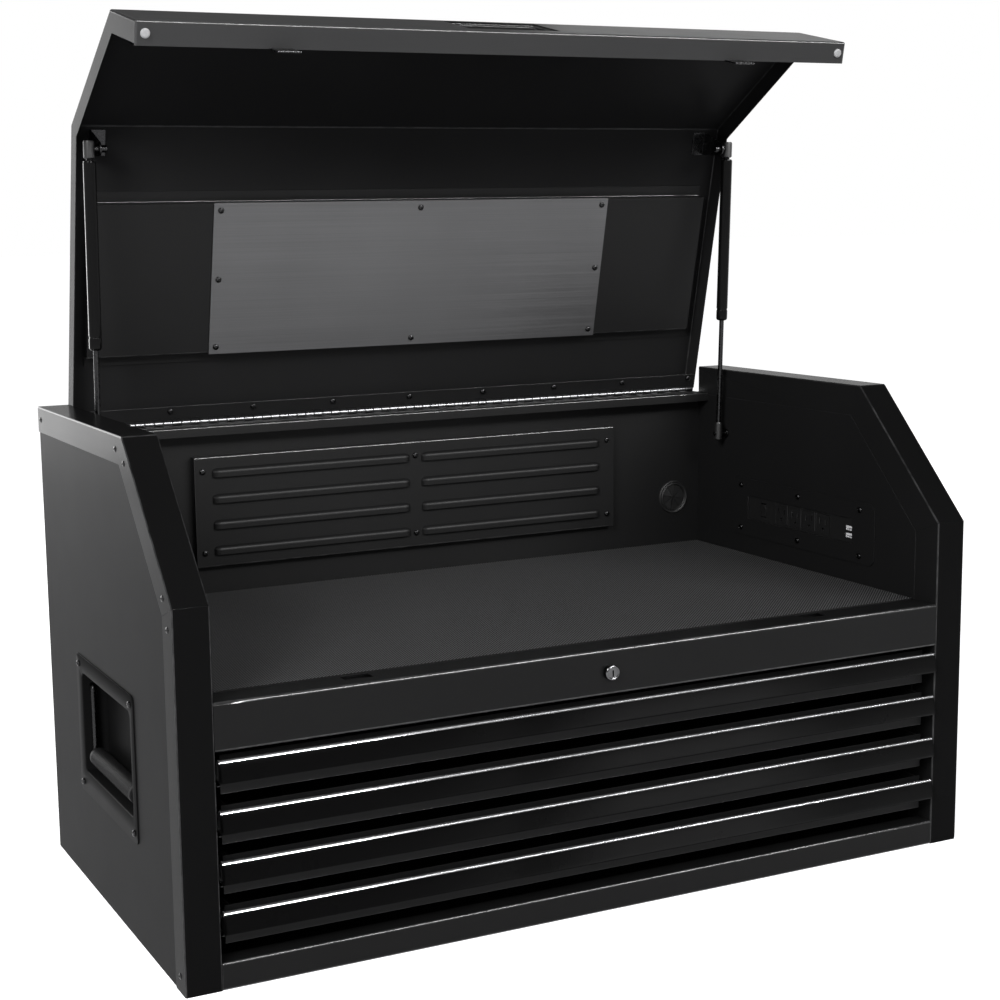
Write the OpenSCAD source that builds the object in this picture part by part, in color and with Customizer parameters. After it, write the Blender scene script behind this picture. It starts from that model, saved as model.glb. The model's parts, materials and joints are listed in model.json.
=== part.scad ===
// Machinist tool chest: double-walled steel body, tray well with a mat, four drawers on
// three-member slides, and a lift-up lid on a piano hinge held by two gas struts.
// Millimetres. +Z is up, -Y is the front. The origin is on the floor under the middle of the body.
// The lid is drawn open and the drawers shut.

/* [Body] */
// Width over the side walls
body_w = 1041; // [900:1:1200]
// Depth from the front posts to the back panel
body_d = 530; // [500:1:620]
// Height of the front posts
post_h = 418; // [400:1:450]
// Height of the side walls behind the slope
side_h = 579; // [560:1:620]
// Distance that the slope of the side walls runs back
slope_run = 157; // [130:1:190]
// Thickness of a double side wall
wall_t = 41.5; // [38:0.5:48]
// Thickness of the sheet steel
sheet_t = 1.2; // [0.9:0.1:1.5]
// Width of the edge trim on the outside of a side wall
outer_lap = 32; // [26:1:40]
// Inset of the inner panel from the edge of a side wall
inner_inset = 40.5; // [36:0.5:46]

/* [Front] */
// Height of the bottom rail
bottom_rail_h = 30.5; // [24:0.5:40]
// Height of the top rail that carries the lock
top_rail_h = 53.5; // [50:0.5:64]
// Depth of the top rail
top_rail_d = 40; // [38:0.5:46]
// Height from one drawer to the next
drawer_pitch = 55.1; // [52:0.1:60]
// Gap between the top rail and the lip of the top drawer
lip_gap = 8.7; // [6:0.1:12]

/* [Drawers] */
// Depth of a drawer tray
tray_d = 450; // [380:1:460]
// Height of a drawer tray
tray_h = 43; // [36:1:46]
// Thickness of the tray sheet
tray_t = 1; // [0.8:0.1:1.4]
// How far the drawer face is set back from the posts
face_recess = 13; // [11:0.5:18]
// Height of the drawer pull
pull_h = 24; // [18:1:28]
// Wall of the drawer pull
pull_t = 2.4; // [1.6:0.1:3]
// Bulge of the drawer pull in front of the posts
pull_bulge = 6; // [3:0.5:8]
// Gap between the end of a pull and the post
pull_end_gap = 3; // [1.5:0.5:6]
// Width taken by one drawer slide
slide_w = 13; // [12:0.5:16]
// Height of a drawer slide
slide_h = 32; // [26:1:35]

/* [Well] */
// Thickness of the mat
mat_t = 3; // [2:0.5:5]
// Width of the louvred panel on the back wall
louvre_panel_w = 642; // [500:1:760]
// Height of the louvred panel
louvre_panel_h = 148; // [120:1:170]
// How far the louvred panel sits under the middle of the back wall
louvre_drop = 2.8; // [-4:0.1:4]
// How far the louvred panel stands off the back wall
louvre_standoff = 12; // [8:1:18]
// Plain border between the louvres and the ends of their panel
louvre_border = 24; // [16:1:60]
// Height between louvres
louvre_pitch = 34.7; // [30:0.1:36]
// Radius of the cable grommet
grommet_r = 25; // [20:0.5:30]
// Distance of the grommet's middle from the right wall
grommet_inset = 44.8; // [36:0.1:70]
// Height of the grommet's middle over the mat
grommet_rise = 69; // [45:1:120]

/* [Power strip] */
// Length of the strip's cover plate
strip_plate_l = 326; // [300:1:340]
// Height of the strip's cover plate
strip_plate_h = 83; // [76:1:95]
// Thickness of the cover plate
strip_plate_t = 1.5; // [1:0.1:2.5]
// Length of the window in the plate
strip_window_l = 235; // [225:1:245]
// Height of the window in the plate
strip_window_h = 34; // [32:0.5:38]
// Distance of the strip's middle behind the front
strip_y = 281.7; // [260:1:300]
// Height of the strip's middle over the mat
strip_rise = 67.6; // [55:0.1:95]

/* [Lid] */
// Gap between the lid and a side wall's trim
lid_side_gap = 4; // [3:0.5:8]
// Drop of the lid's top below the side walls
lid_drop = 4; // [2:0.5:8]
// Depth of the lid's flanges
lid_flange = 25; // [22:0.5:30]
// How far the lid's front stands in front of the posts
lid_overhang = 5.8; // [3:0.1:9]
// Height of the lid's front face
lid_front_h = 97.5; // [90:0.5:102]
// Depth of the turned-in flange under the lid's front
lid_return = 27.3; // [24:0.1:29]
// Distance of the lid's bend behind the front
lid_bend = 149.4; // [135:0.1:165]
// Angle that the open lid has turned
lid_open = 77.5; // [70:0.5:85]
// Width of the lid's inner plate
plate_w = 585; // [480:1:640]
// Depth of the lid's inner plate
plate_d = 200; // [170:1:215]
// Distance of the plate's middle in front of the lid's rear edge
plate_back = 189.6; // [170:0.1:200]
// Height of the lid's stiffener
stiffener_h = 14; // [10:1:18]

/* [Hinge and struts] */
// Gap between an end of the piano hinge and the lid's edge
hinge_end_gap = 6; // [4:0.5:40]
// Radius of a hinge knuckle
knuckle_r = 4; // [3.4:0.1:4.4]
// Radius of the hinge pin
hinge_pin_r = 1.5; // [1.2:0.1:2]
// Width of a hinge leaf
hinge_leaf_w = 22; // [18:1:26]
// Distance of a strut's lower pivot in front of the back
strut_low_back = 73; // [60:1:90]
// Depth of a strut's lower pivot below the top of the side walls
strut_low_drop = 93; // [80:1:105]
// Distance of a strut's upper pivot behind the lid's bend
strut_up_back = 21.6; // [10:0.1:35]
// Depth of a strut's upper pivot below the lid's top
strut_up_drop = 43.5; // [38:0.5:50]
// Radius of a strut's tube
strut_tube_r = 8; // [6:0.5:8.5]
// Length of a strut's tube
strut_tube_l = 230; // [200:1:240]
// Radius of a strut's rod
strut_rod_r = 3.3; // [2.5:0.1:4]
// Radius of a strut's ball studs
strut_stud_r = 3; // [2.4:0.1:3.4]

/* [Side handles] */
// Distance of the handle's middle behind the front
handle_y = 274.5; // [240:0.5:290]
// Height of the handle's middle
handle_z = 204; // [150:1:230]
// Length of the hand opening
pocket_w = 200; // [160:1:215]
// Height of the hand opening
pocket_h = 122; // [105:1:135]
// Depth of the hand pocket
pocket_d = 27; // [26:0.5:32]
// Length of the flange plate
pocket_plate_w = 240; // [235:1:270]
// Height of the flange plate
pocket_plate_h = 172; // [165:1:190]
// Radius of the grip
grip_r = 11.5; // [9:0.5:12]
// Radius of the bail's rod
bail_r = 3.5; // [3:0.1:4.5]

/* [Lock] */
// Radius of the lock's head
lock_r = 9.5; // [8:0.5:12]
// How far the lock's head stands out
lock_head = 7; // [4:0.5:9]
// Radius of the lock's cylinder
cylinder_r = 6.5; // [5.5:0.1:7]
// Width of a lid hook
hook_w = 29; // [22:1:34]
// Distance of a lid hook from the middle
hook_x = 305; // [260:1:340]

/* [Hidden] */

$fn = 32;
fit_gap = 0.05; // radial clearance of a pin that turns in its bore
seat_gap = 0.3; // clearance between neighbouring pieces
drawer_count = 4;

// Finishes
body_black = [0.06, 0.06, 0.065];
trim_black = [0.10, 0.10, 0.105];
inner_black = [0.05, 0.05, 0.055];
steel_grey = [0.42, 0.42, 0.43];
zinc = [0.62, 0.62, 0.64];
rubber_black = [0.04, 0.04, 0.04];

// Main planes
half_w = body_w / 2;
front_y = -body_d / 2;
back_y = body_d / 2;
inner_x = half_w - wall_t; // inner face of the trim
well_x = inner_x - sheet_t; // inner face of the inner panels
skin_x = half_w - sheet_t; // outer face of the outer panels
wall_y = back_y - sheet_t; // inner face of the back panel

// Outlines of the side walls, as [y, z] from the foot of the post to the back
wall_path = [[front_y, 0], [front_y, post_h], [front_y + slope_run, side_h], [back_y, side_h]];

// The trim's inner flange stops short of the side panel's rear flange
flange_path = [wall_path[0], wall_path[1], wall_path[2], [back_y - sheet_t, side_h]];

// Front rails
foot_room = 10; // extra height under the bottom drawer
rail_bottom_z = bottom_rail_h + drawer_count * drawer_pitch + foot_room;
rail_top_z = rail_bottom_z + top_rail_h;
bottom_rail_d = 25;
pan_wall_h = 16;

// Well
floor_z = rail_top_z - 1.5;
floor_lip = 14;
mat_top_z = floor_z + mat_t;
mat_inset = 2;

// Hinge line and lid outline, with the lid shut
lid_half_w = inner_x - lid_side_gap;
lid_top_z = side_h - lid_drop;
lid_rear_z = lid_top_z - lid_flange;
hinge_l = 2 * (lid_half_w - hinge_end_gap);
hinge_z = lid_rear_z - knuckle_r - seat_gap;
hinge_y = back_y + 3;
ledge_z = hinge_z - knuckle_r;
ledge_d = 27;
ledge_lip = 12;
leaf_t = 1.2;
lid_rear_y = hinge_y + 1.6;
lid_front_y = front_y - lid_overhang;
bumper_h = 3;
lid_low_z = rail_top_z + bumper_h + 0.5;
lid_path = [[lid_front_y, lid_low_z], [lid_front_y, lid_low_z + lid_front_h],
    [front_y + lid_bend, lid_top_z], [lid_rear_y, lid_top_z]];
lid_sheet_path = concat([[lid_front_y + lid_return, lid_low_z]], lid_path,
    [[lid_rear_y, lid_rear_z], [lid_rear_y - hinge_leaf_w, lid_rear_z]]);
lid_inner_z = lid_top_z - sheet_t;

// Inner plate of the lid, with the lid shut
plate_y = lid_rear_y - plate_back;
plate_t = 1.5;
plate_z = lid_inner_z - stiffener_h;
plate_screw_inset = 9.5;
stiffener_lo = plate_y - plate_d / 2 + 1;
stiffener_hi = plate_y + plate_d / 2 - 1;
stiffener_half_w = lid_half_w - 20;
stiffener_lip = 14;

// Grip cup in the lid's front face
cup_w = 125;
cup_h = 68;
cup_d = 14;
cup_rim = 7;
cup_floor = 12; // height of the cup's deep part
cup_top_d = 4; // depth of the cup at its top
cup_z = lid_low_z + 55.5;

// Hinge screws
leaf_screw_count = 9;
leaf_screw_pitch = (hinge_l - 16) / (leaf_screw_count - 1);
leaf_screw_y = hinge_y - 15.5;
knuckle_count = 38;
knuckle_l = hinge_l / knuckle_count;

// Screws and rivets
screw_head_r = 4;
screw_head_h = 2.4;
screw_r = 2;
rivet_head_r = 3.6;
rivet_head_h = 1.3;
rivet_r = 2;
rivet_inset = 16;
rivet_corner = 18; // distance of a rivet from a corner of the trim
rivet_end = 13; // distance of a rivet from the end of the trim

// Louvred panel
louvre_y = wall_y - louvre_standoff;
louvre_panel_z = (mat_top_z + ledge_z) / 2 - louvre_drop;
louvre_rows = 4;
louvre_mid = 9; // half of the bar between the two columns
louvre_l = louvre_panel_w / 2 - louvre_mid - louvre_border;
louvre_slot = 5;
louvre_hood = 5;
louvre_rise = 4; // half of the hood's height
louvre_screw_x = louvre_panel_w / 2 - 11;
louvre_screw_z = louvre_panel_h / 2 - 19.5;
grommet_neck_r = grommet_r - 3.5;
grommet_flange_t = 2.5;
grommet_hole_r = grommet_r - 6;
flap_hole_r = 6;
flap_slit = 1;
grommet_x = well_x - grommet_inset;
grommet_z = mat_top_z + grommet_rise;

// Power strip
strip_mid_y = front_y + strip_y;
strip_z = mat_top_z + strip_rise;
strip_screw_y = strip_plate_l / 2 - 30;
strip_screw_z = strip_plate_h / 2 - 10.5;
strip_face_x = well_x + 0.5;
strip_depth = 28;
outlet_count = 4;
outlet_pitch = 31;
outlet_size = 27;
outlet_depth = 8;
outlet_slot_y = 6.3;
outlet_slot_h = 8;
outlet_pin_r = 2.3;
outlet_pin_z = -7;
outlet_shift = -7.5;
socket_proud = 0.5; // how far the sockets stand out of the strip
socket_play = 0.1;
outlet_y = strip_mid_y + outlet_shift; // middle of the row of outlets
usb_inset = 7;
usb_half_l = 7;
usb_half_h = 3;
usb_depth = 9;
usb_y = strip_mid_y - strip_window_l / 2 + usb_inset; // middle of the ports
usb_pitch = 10;
switch_w = 12;
switch_h = 18;
switch_inset = 36; // from the far end of the window
switch_y = strip_mid_y + strip_window_l / 2 - switch_inset;
switch_x = strip_face_x + 3.5; // pivot of the rocker
switch_tilt = 8;
switch_pin_r = 1;
switch_bay = 12; // depth of the rocker's bay

// Handle pocket
pocket_y = front_y + handle_y; // middle of the flange plate
pocket_z = handle_z;
mouth_y = pocket_y - 5; // middle of the hand opening
mouth_z = pocket_z + 4;
pocket_t = 1.2;
pocket_plate_t = 1.5;
pocket_screw_y = pocket_plate_w / 2 - 12.5;
pocket_screw_z = pocket_plate_h / 2 - 11.5;
bail_x = skin_x - 10.5;
bail_z = mouth_z + pocket_h / 2 - 17;
pocket_corner_r = 8;
grip_z = mouth_z - pocket_h / 2 + 20;
bail_arm_y = pocket_w / 2 - 6;
grip_half_l = bail_arm_y - 5;

// Lock and latch
lock_z = rail_bottom_z + 27;
lock_barrel_r = lock_r - 0.9;
cam_y = front_y + 22.3;
cam_t = 2.5;
cam_pin_r = 2;
cam_arm = 10;
latch_y = front_y + 31;
latch_t = 2;
latch_low = lock_z - 4;
finger_l = 24;
guide_w = 24;
guide_x = hook_x - 110;
hook_y = latch_y;
hook_low = lock_z + 6;
hook_notch_z = lock_z + 12;
hook_notch_h = 6;
hook_notch_w = 14;
hook_t = 2;
finger_t = 4; // height of a finger, and of the guides round the bar
finger_post = 6;
bar_h = 8;
key_slot = 1.8;
slot_side = 2.5; // room beside a hook in its slot
slot_front = front_y + 20;
slot_back = front_y + 36.5;

// Gas struts: lower pivot on the chest, upper pivot on the shut lid
strut_x = well_x - 13.8;
strut_low = [back_y - strut_low_back, side_h - strut_low_drop];
strut_up_shut = [front_y + lid_bend + strut_up_back, lid_top_z - strut_up_drop];
bracket_x = strut_x - 13.5;
bracket_t = 2;
bracket_half = 16;
bracket_ear_r = 9;
bracket_foot = 18;
bracket_boss_r = 4.5;
bracket_boss_l = 8;
stud_tip = 7; // how far a stud goes past the strut's middle line
stud_collar_r = 7;
stud_collar_t = 2.5;
socket_r = 6;
socket_l = 26;
socket_foot = 9; // how far a socket goes past its pivot
tube_end = 14; // from the tube's end to the upper pivot
tube_cap = 9; // solid end of the tube
rod_lap = 60; // length of the rod inside the tube

// Drawers
tray_half_w = well_x - slide_w;
face_half_w = inner_x - 9;
face_y = front_y + face_recess;
face_drop = 41; // from the lip down to the foot of the face
pull_half_w = inner_x - pull_end_gap;
slide_back_y = face_y + tray_d;
slide_front_y = front_y + inner_inset + 0.5;
slide_t = 1.4;
slide_play = 0.4;

function lip_z(i) = rail_bottom_z - lip_gap - (i - 1) * drawer_pitch;
function slide_z(i) = lip_z(i) - face_drop + tray_h / 2 - 1;

// Offsets of an open path of [y, z] points towards its inner side
function unit(v) = v / norm(v);
function inward(a, b) = let (u = unit(b - a)) [u[1], -u[0]];
function inset_at(p, i, t) =
    i == 0 ? p[0] + t * inward(p[0], p[1]) :
    i == len(p) - 1 ? p[i] + t * inward(p[i - 1], p[i]) :
    let (a = inward(p[i - 1], p[i]), b = inward(p[i], p[i + 1])) p[i] + (a + b) * t / (1 + a * b);
function inset_path(p, t) = [for (i = [0:len(p) - 1]) inset_at(p, i, t)];
function band(p, t) = concat(p, [for (i = [len(p) - 1:-1:0]) inset_at(p, i, t)]);
function spin(p, c, a) = let (v = p - c)
    c + [v[0] * cos(a) + v[1] * sin(a), -v[0] * sin(a) + v[1] * cos(a)];

// Places of the trim rivets on a side wall, as [y, z]
rivet_path = inset_path(wall_path, rivet_inset);
function toward(a, b, d) = a + d * unit(b - a);
rivet_places = [
    toward(rivet_path[0], rivet_path[1], rivet_end + 6),
    toward(rivet_path[1], rivet_path[0], rivet_corner),
    toward(rivet_path[1], rivet_path[2], rivet_corner),
    toward(rivet_path[2], rivet_path[1], rivet_corner),
    toward(rivet_path[2], rivet_path[3], rivet_corner),
    toward(rivet_path[3], rivet_path[2], rivet_end)];

strut_up = spin(strut_up_shut, [hinge_y, hinge_z], lid_open);
strut_len = norm(strut_up - strut_low);
strut_lean = atan2(strut_up[0] - strut_low[0], strut_up[1] - strut_low[1]);

// Helpers
module along_x(x, l) { translate([x, 0, 0]) rotate([90, 0, 90]) linear_extrude(l) children(); }
module along_y(y, l) { translate([0, y + l, 0]) rotate([90, 0, 0]) linear_extrude(l) children(); }
module box(lo, hi) { translate(lo) cube(hi - lo); }
module rod_x(x, y, z, r, l) { translate([x, y, z]) rotate([0, 90, 0]) cylinder(h = l, r = r); }
module rod_y(x, y, z, r, l) { translate([x, y, z]) rotate([-90, 0, 0]) cylinder(h = l, r = r); }
module on_side(s) { mirror([s < 0 ? 1 : 0, 0, 0]) children(); }
module lid_pose() {
    translate([0, hinge_y, hinge_z]) rotate([-lid_open, 0, 0]) translate([0, -hinge_y, -hinge_z])
        children();
}
module round_rect(w, h, r) {
    square([w - 2 * r, h], center = true);
    square([w, h - 2 * r], center = true);
    for (x = [-1, 1], y = [-1, 1]) translate([x * (w / 2 - r), y * (h / 2 - r)]) circle(r);
}
// Pan-head screw whose head sits on z = 0 and whose shank runs down
module screw(l) {
    rotate_extrude() polygon([[0, -l], [screw_r, -l], [screw_r, 0], [screw_head_r, 0],
        [screw_head_r, screw_head_h * 0.5], [screw_head_r * 0.6, screw_head_h], [0, screw_head_h]]);
}

// Body
module side_panel(s) {
    color(body_black) on_side(s) difference() {
        union() {
            along_x(skin_x - sheet_t, sheet_t)
                polygon(concat(inset_path(wall_path, sheet_t), [[back_y, 0]]));
            box([inner_x, back_y - sheet_t, 0], [skin_x, back_y, side_h - sheet_t]);
        }
        rivet_holes(skin_x - 2 * sheet_t, 4 * sheet_t);
        translate([0, mouth_y, mouth_z]) box(
            [skin_x - 2 * sheet_t, -pocket_w / 2 - pocket_t - seat_gap,
                -pocket_h / 2 - pocket_t - seat_gap],
            [skin_x + 1, pocket_w / 2 + pocket_t + seat_gap, pocket_h / 2 + pocket_t + seat_gap]);
        for (p = pocket_screws())
            rod_x(skin_x - 2 * sheet_t, p[0], p[1], screw_r + fit_gap, 4 * sheet_t);
    }
}
function pocket_screws() = [for (y = [-1, 1], z = [-1, 1])
    [pocket_y + y * pocket_screw_y, pocket_z + z * pocket_screw_z]];
module rivet_holes(x, l) {
    for (p = rivet_places) rod_x(x, p[0], p[1], rivet_r + fit_gap, l);
}
module inner_panel(s) {
    p = inset_path(wall_path, inner_inset);
    color(inner_black) on_side(s) difference() {
        along_x(well_x, sheet_t) polygon([[p[0][0], 0], p[1], p[2], [back_y, p[3][1]], [back_y, 0]]);
        rod_x(well_x - 1, strut_low[0], strut_low[1], strut_stud_r + fit_gap, sheet_t + 2);
        if (s > 0) {
            translate([well_x - 1, strip_mid_y, strip_z])
                box([0, -strip_window_l / 2, -strip_window_h / 2],
                    [sheet_t + 2, strip_window_l / 2, strip_window_h / 2]);
            for (p = strip_screws()) rod_x(well_x - 1, p[0], p[1], screw_r + fit_gap, sheet_t + 2);
        }
    }
}
module trim(s) {
    half_corner = (90 - atan2(side_h - post_h, slope_run)) / 2;
    color(trim_black) on_side(s) difference() {
        union() {
            along_x(skin_x, sheet_t) polygon(band(wall_path, outer_lap));
            along_x(inner_x, wall_t) polygon(band(wall_path, sheet_t));
            along_x(inner_x, sheet_t) polygon(band(flange_path, inner_inset + 12));
        }
        rivet_holes(skin_x - 1, sheet_t + 2);
        // mitre between the post and the sloping cap
        along_x(inner_x - 1, wall_t + 2) translate([front_y, post_h]) rotate(-half_corner)
            translate([-3, -seat_gap / 2]) square([90, seat_gap]);
    }
}
module trim_rivets() {
    color(zinc) for (s = [-1, 1], p = rivet_places) on_side(s)
        translate([half_w, p[0], p[1]]) rotate([0, 90, 0]) rotate_extrude()
            polygon([[0, -3 * sheet_t], [rivet_r, -3 * sheet_t], [rivet_r, 0], [rivet_head_r, 0],
                [rivet_head_r * 0.6, rivet_head_h], [0, rivet_head_h]]);
}
module back_panel() {
    color(inner_black) difference() {
        union() {
            box([-well_x, wall_y, 0], [well_x, back_y, ledge_z]);
            box([-well_x, back_y - ledge_d, ledge_z - sheet_t], [well_x, back_y, ledge_z]);
            box([-well_x, back_y - ledge_d, ledge_z - ledge_lip],
                [well_x, back_y - ledge_d + sheet_t, ledge_z]);
        }
        rod_y(grommet_x, wall_y - 1, grommet_z, grommet_neck_r + seat_gap, sheet_t + 2);
        for (p = louvre_screws()) rod_y(p[0], wall_y - 1, p[1], screw_r + fit_gap, sheet_t + 2);
    }
}
module base_pan() {
    color(body_black) difference() {
        box([-well_x, front_y + bottom_rail_d, 0], [well_x, wall_y, pan_wall_h]);
        box([-well_x + sheet_t, front_y + bottom_rail_d - 1, sheet_t],
            [well_x - sheet_t, wall_y - sheet_t, pan_wall_h + 1]);
    }
}
module bottom_rail() {
    color(trim_black) difference() {
        box([-inner_x, front_y, 0], [inner_x, front_y + bottom_rail_d, bottom_rail_h]);
        box([-inner_x - 1, front_y + sheet_t, sheet_t],
            [inner_x + 1, front_y + bottom_rail_d + 1, bottom_rail_h - sheet_t]);
    }
}
module front_rail() {
    color(trim_black) difference() {
        union() {
            difference() {
                box([-inner_x, front_y, rail_bottom_z], [inner_x, front_y + top_rail_d, rail_top_z]);
                box([-inner_x - 1, front_y + sheet_t, rail_bottom_z + sheet_t],
                    [inner_x + 1, front_y + top_rail_d + 1, rail_top_z - sheet_t]);
            }
            // guides that carry the latch bar
            for (x = [-guide_x, guide_x]) translate([x - guide_w / 2, 0, 0]) {
                box([0, front_y, latch_low - seat_gap - sheet_t],
                    [guide_w, latch_y + latch_t + seat_gap + sheet_t, latch_low - seat_gap]);
                for (y = [latch_y - seat_gap - sheet_t, latch_y + latch_t + seat_gap])
                    box([0, y, latch_low - seat_gap - sheet_t],
                        [guide_w, y + sheet_t, latch_low + finger_t]);
            }
        }
        rod_y(0, front_y - 1, lock_z, lock_barrel_r + fit_gap, sheet_t + 2);
        for (s = [-1, 1])
            box([s * hook_x - hook_w / 2 - slot_side, slot_front, rail_top_z - sheet_t - 1],
                [s * hook_x + hook_w / 2 + slot_side, slot_back, rail_top_z + 1]);
    }
}

// Well
module till_floor() {
    color(inner_black) difference() {
        box([-well_x, front_y + top_rail_d, floor_z - floor_lip], [well_x, wall_y, floor_z]);
        box([-well_x + sheet_t, front_y + top_rail_d + sheet_t, floor_z - floor_lip - 1],
            [well_x - sheet_t, wall_y - sheet_t, floor_z - sheet_t]);
    }
}
module till_mat() {
    color(rubber_black) box([-well_x + mat_inset, front_y + top_rail_d + mat_inset, floor_z],
        [well_x - mat_inset, wall_y - mat_inset, mat_top_z]);
}
function louvre_screws() = [for (x = [-louvre_screw_x, 0, louvre_screw_x], z = [-1, 1])
    [x, louvre_panel_z + z * louvre_screw_z]];
module louvred_panel() {
    lo = louvre_panel_z - louvre_panel_h / 2;
    hi = louvre_panel_z + louvre_panel_h / 2;
    w = louvre_panel_w / 2;
    first = louvre_panel_z - louvre_pitch * (louvre_rows - 1) / 2;
    color(inner_black) difference() {
        union() {
            box([-w, louvre_y, lo], [w, louvre_y + sheet_t, hi]);
            for (z = [lo, hi - sheet_t]) box([-w, louvre_y, z], [w, wall_y, z + sheet_t]);
            for (c = [-1, 1], r = [0:louvre_rows - 1])
                along_x(c * (louvre_mid + louvre_l / 2) - louvre_l / 2, louvre_l)
                    translate([louvre_y, first + r * louvre_pitch])
                        polygon([[0, louvre_rise], [-louvre_hood, -louvre_rise],
                            [-louvre_hood, -louvre_rise - sheet_t], [sheet_t, louvre_rise / 2]]);
        }
        for (c = [-1, 1], r = [0:louvre_rows - 1])
            translate([c * (louvre_mid + louvre_l / 2), louvre_y,
                first + r * louvre_pitch - louvre_rise - 0.2])
                box([-louvre_l / 2 + 1, -0.01, 0], [louvre_l / 2 - 1, sheet_t + 1, louvre_slot]);
        for (p = louvre_screws()) rod_y(p[0], louvre_y - 1, p[1], screw_r + fit_gap, sheet_t + 2);
    }
}
module cable_grommet() {
    t = grommet_flange_t;
    r = grommet_hole_r;
    color(rubber_black) translate([grommet_x, 0, grommet_z]) difference() {
        union() {
            rod_y(0, wall_y - t, 0, grommet_r, t);
            rod_y(0, wall_y, 0, grommet_neck_r, sheet_t);
            rod_y(0, back_y, 0, grommet_r, t);
        }
        rod_y(0, wall_y - t - 1, 0, r, t);
        rod_y(0, wall_y + 1.5, 0, r, sheet_t + t + 1);
        // slits between the flaps, and the hole in their middle
        rod_y(0, wall_y - t - 1, 0, flap_hole_r, 10);
        for (a = [0, 60, 120]) rotate([0, a, 0])
            box([1 - r, wall_y - t - 1, -flap_slit / 2], [r - 1, wall_y + 4, flap_slit / 2]);
    }
}

// Power strip
function strip_screws() = [for (y = [-1, 0, 1], z = [-1, 1])
    [strip_mid_y + y * strip_screw_y, strip_z + z * strip_screw_z]];
module power_strip_bezel() {
    color(inner_black) difference() {
        translate([0, strip_mid_y, strip_z]) along_x(well_x - strip_plate_t, strip_plate_t) difference() {
            round_rect(strip_plate_l, strip_plate_h, 12);
            square([strip_window_l, strip_window_h], center = true);
        }
        for (p = strip_screws())
            rod_x(well_x - strip_plate_t - 1, p[0], p[1], screw_r + fit_gap, strip_plate_t + 2);
    }
}
module power_strip_body() {
    flange_l = strip_plate_l - 16;
    flange_h = strip_plate_h - 8;
    color(rubber_black) difference() {
        union() {
            translate([0, strip_mid_y, strip_z]) {
                box([strip_face_x, -strip_window_l / 2 + seat_gap, -strip_window_h / 2 + seat_gap],
                    [strip_face_x + strip_depth, strip_window_l / 2 - seat_gap,
                        strip_window_h / 2 - seat_gap]);
                box([inner_x, -flange_l / 2, -flange_h / 2], [inner_x + 1.5, flange_l / 2, flange_h / 2]);
            }
        }
        for (p = strip_screws()) rod_x(inner_x - 1, p[0], p[1], screw_r + fit_gap, 4);
        for (i = [0:outlet_count - 1]) translate([strip_face_x, outlet_place(i), strip_z])
            box([-1, -outlet_size / 2 - socket_play, -outlet_size / 2 - socket_play],
                [outlet_depth, outlet_size / 2 + socket_play, outlet_size / 2 + socket_play]);
        for (z = [-1, 1]) translate([strip_face_x, usb_y, strip_z - 2 + z * usb_pitch / 2])
            box([-1, -usb_half_l - socket_play, -usb_half_h - socket_play],
                [usb_depth, usb_half_l + socket_play, usb_half_h + socket_play]);
        box([strip_face_x - 1, switch_y - switch_w / 2 - seat_gap, strip_z - switch_h / 2 - 1.4],
            [strip_face_x + switch_bay, switch_y + switch_w / 2 + seat_gap,
                strip_z + switch_h / 2 + 1.4]);
        rod_y(switch_x, switch_y - switch_w / 2 - 2, strip_z, switch_pin_r + fit_gap, switch_w + 4);
    }
}
function outlet_place(i) = outlet_y + (i - (outlet_count - 1) / 2) * outlet_pitch;
module power_sockets() {
    color([0.09, 0.09, 0.09]) for (i = [0:outlet_count - 1])
        translate([strip_face_x - socket_proud, outlet_place(i), strip_z]) difference() {
            box([0, -outlet_size / 2, -outlet_size / 2],
                [outlet_depth + socket_proud, outlet_size / 2, outlet_size / 2]);
            for (y = [-outlet_slot_y, outlet_slot_y]) box([-1, y - 1, 0], [6, y + 1, outlet_slot_h]);
            rod_x(-1, 0, outlet_pin_z, outlet_pin_r, 7);
        }
    color([0.85, 0.85, 0.85]) for (z = [-1, 1])
        translate([strip_face_x - socket_proud, usb_y, strip_z - 2 + z * usb_pitch / 2]) difference() {
            box([0, -usb_half_l, -usb_half_h], [usb_depth + socket_proud, usb_half_l, usb_half_h]);
            box([-1, 1 - usb_half_l, 1 - usb_half_h], [7, usb_half_l - 1, 0]);
        }
}
module power_switch() {
    color(rubber_black) translate([switch_x, switch_y, strip_z]) rotate([0, -switch_tilt, 0]) {
        rotate([90, 0, 0]) translate([0, 0, -switch_w / 2]) linear_extrude(switch_w)
            polygon([[-5, -switch_h / 2], [-3.4, 0], [-5, switch_h / 2], [2, switch_h / 2 - 1], [5, 4],
                [5, -4], [2, 1 - switch_h / 2]]);
        rod_y(0, -switch_w / 2 - 1.5, 0, switch_pin_r, switch_w + 3);
    }
}

// Screws of the louvred panel, the power strip and the handle plates
module panel_screws() {
    color(zinc) {
        for (p = louvre_screws()) translate([p[0], louvre_y, p[1]]) rotate([90, 0, 0])
            screw(louvre_standoff + 4);
        for (p = strip_screws())
            translate([well_x - strip_plate_t, p[0], p[1]]) rotate([0, -90, 0]) screw(8);
        for (s = [-1, 1], p = pocket_screws()) on_side(s)
            translate([skin_x + pocket_plate_t, p[0], p[1]]) rotate([0, 90, 0]) screw(8);
    }
}

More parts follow.
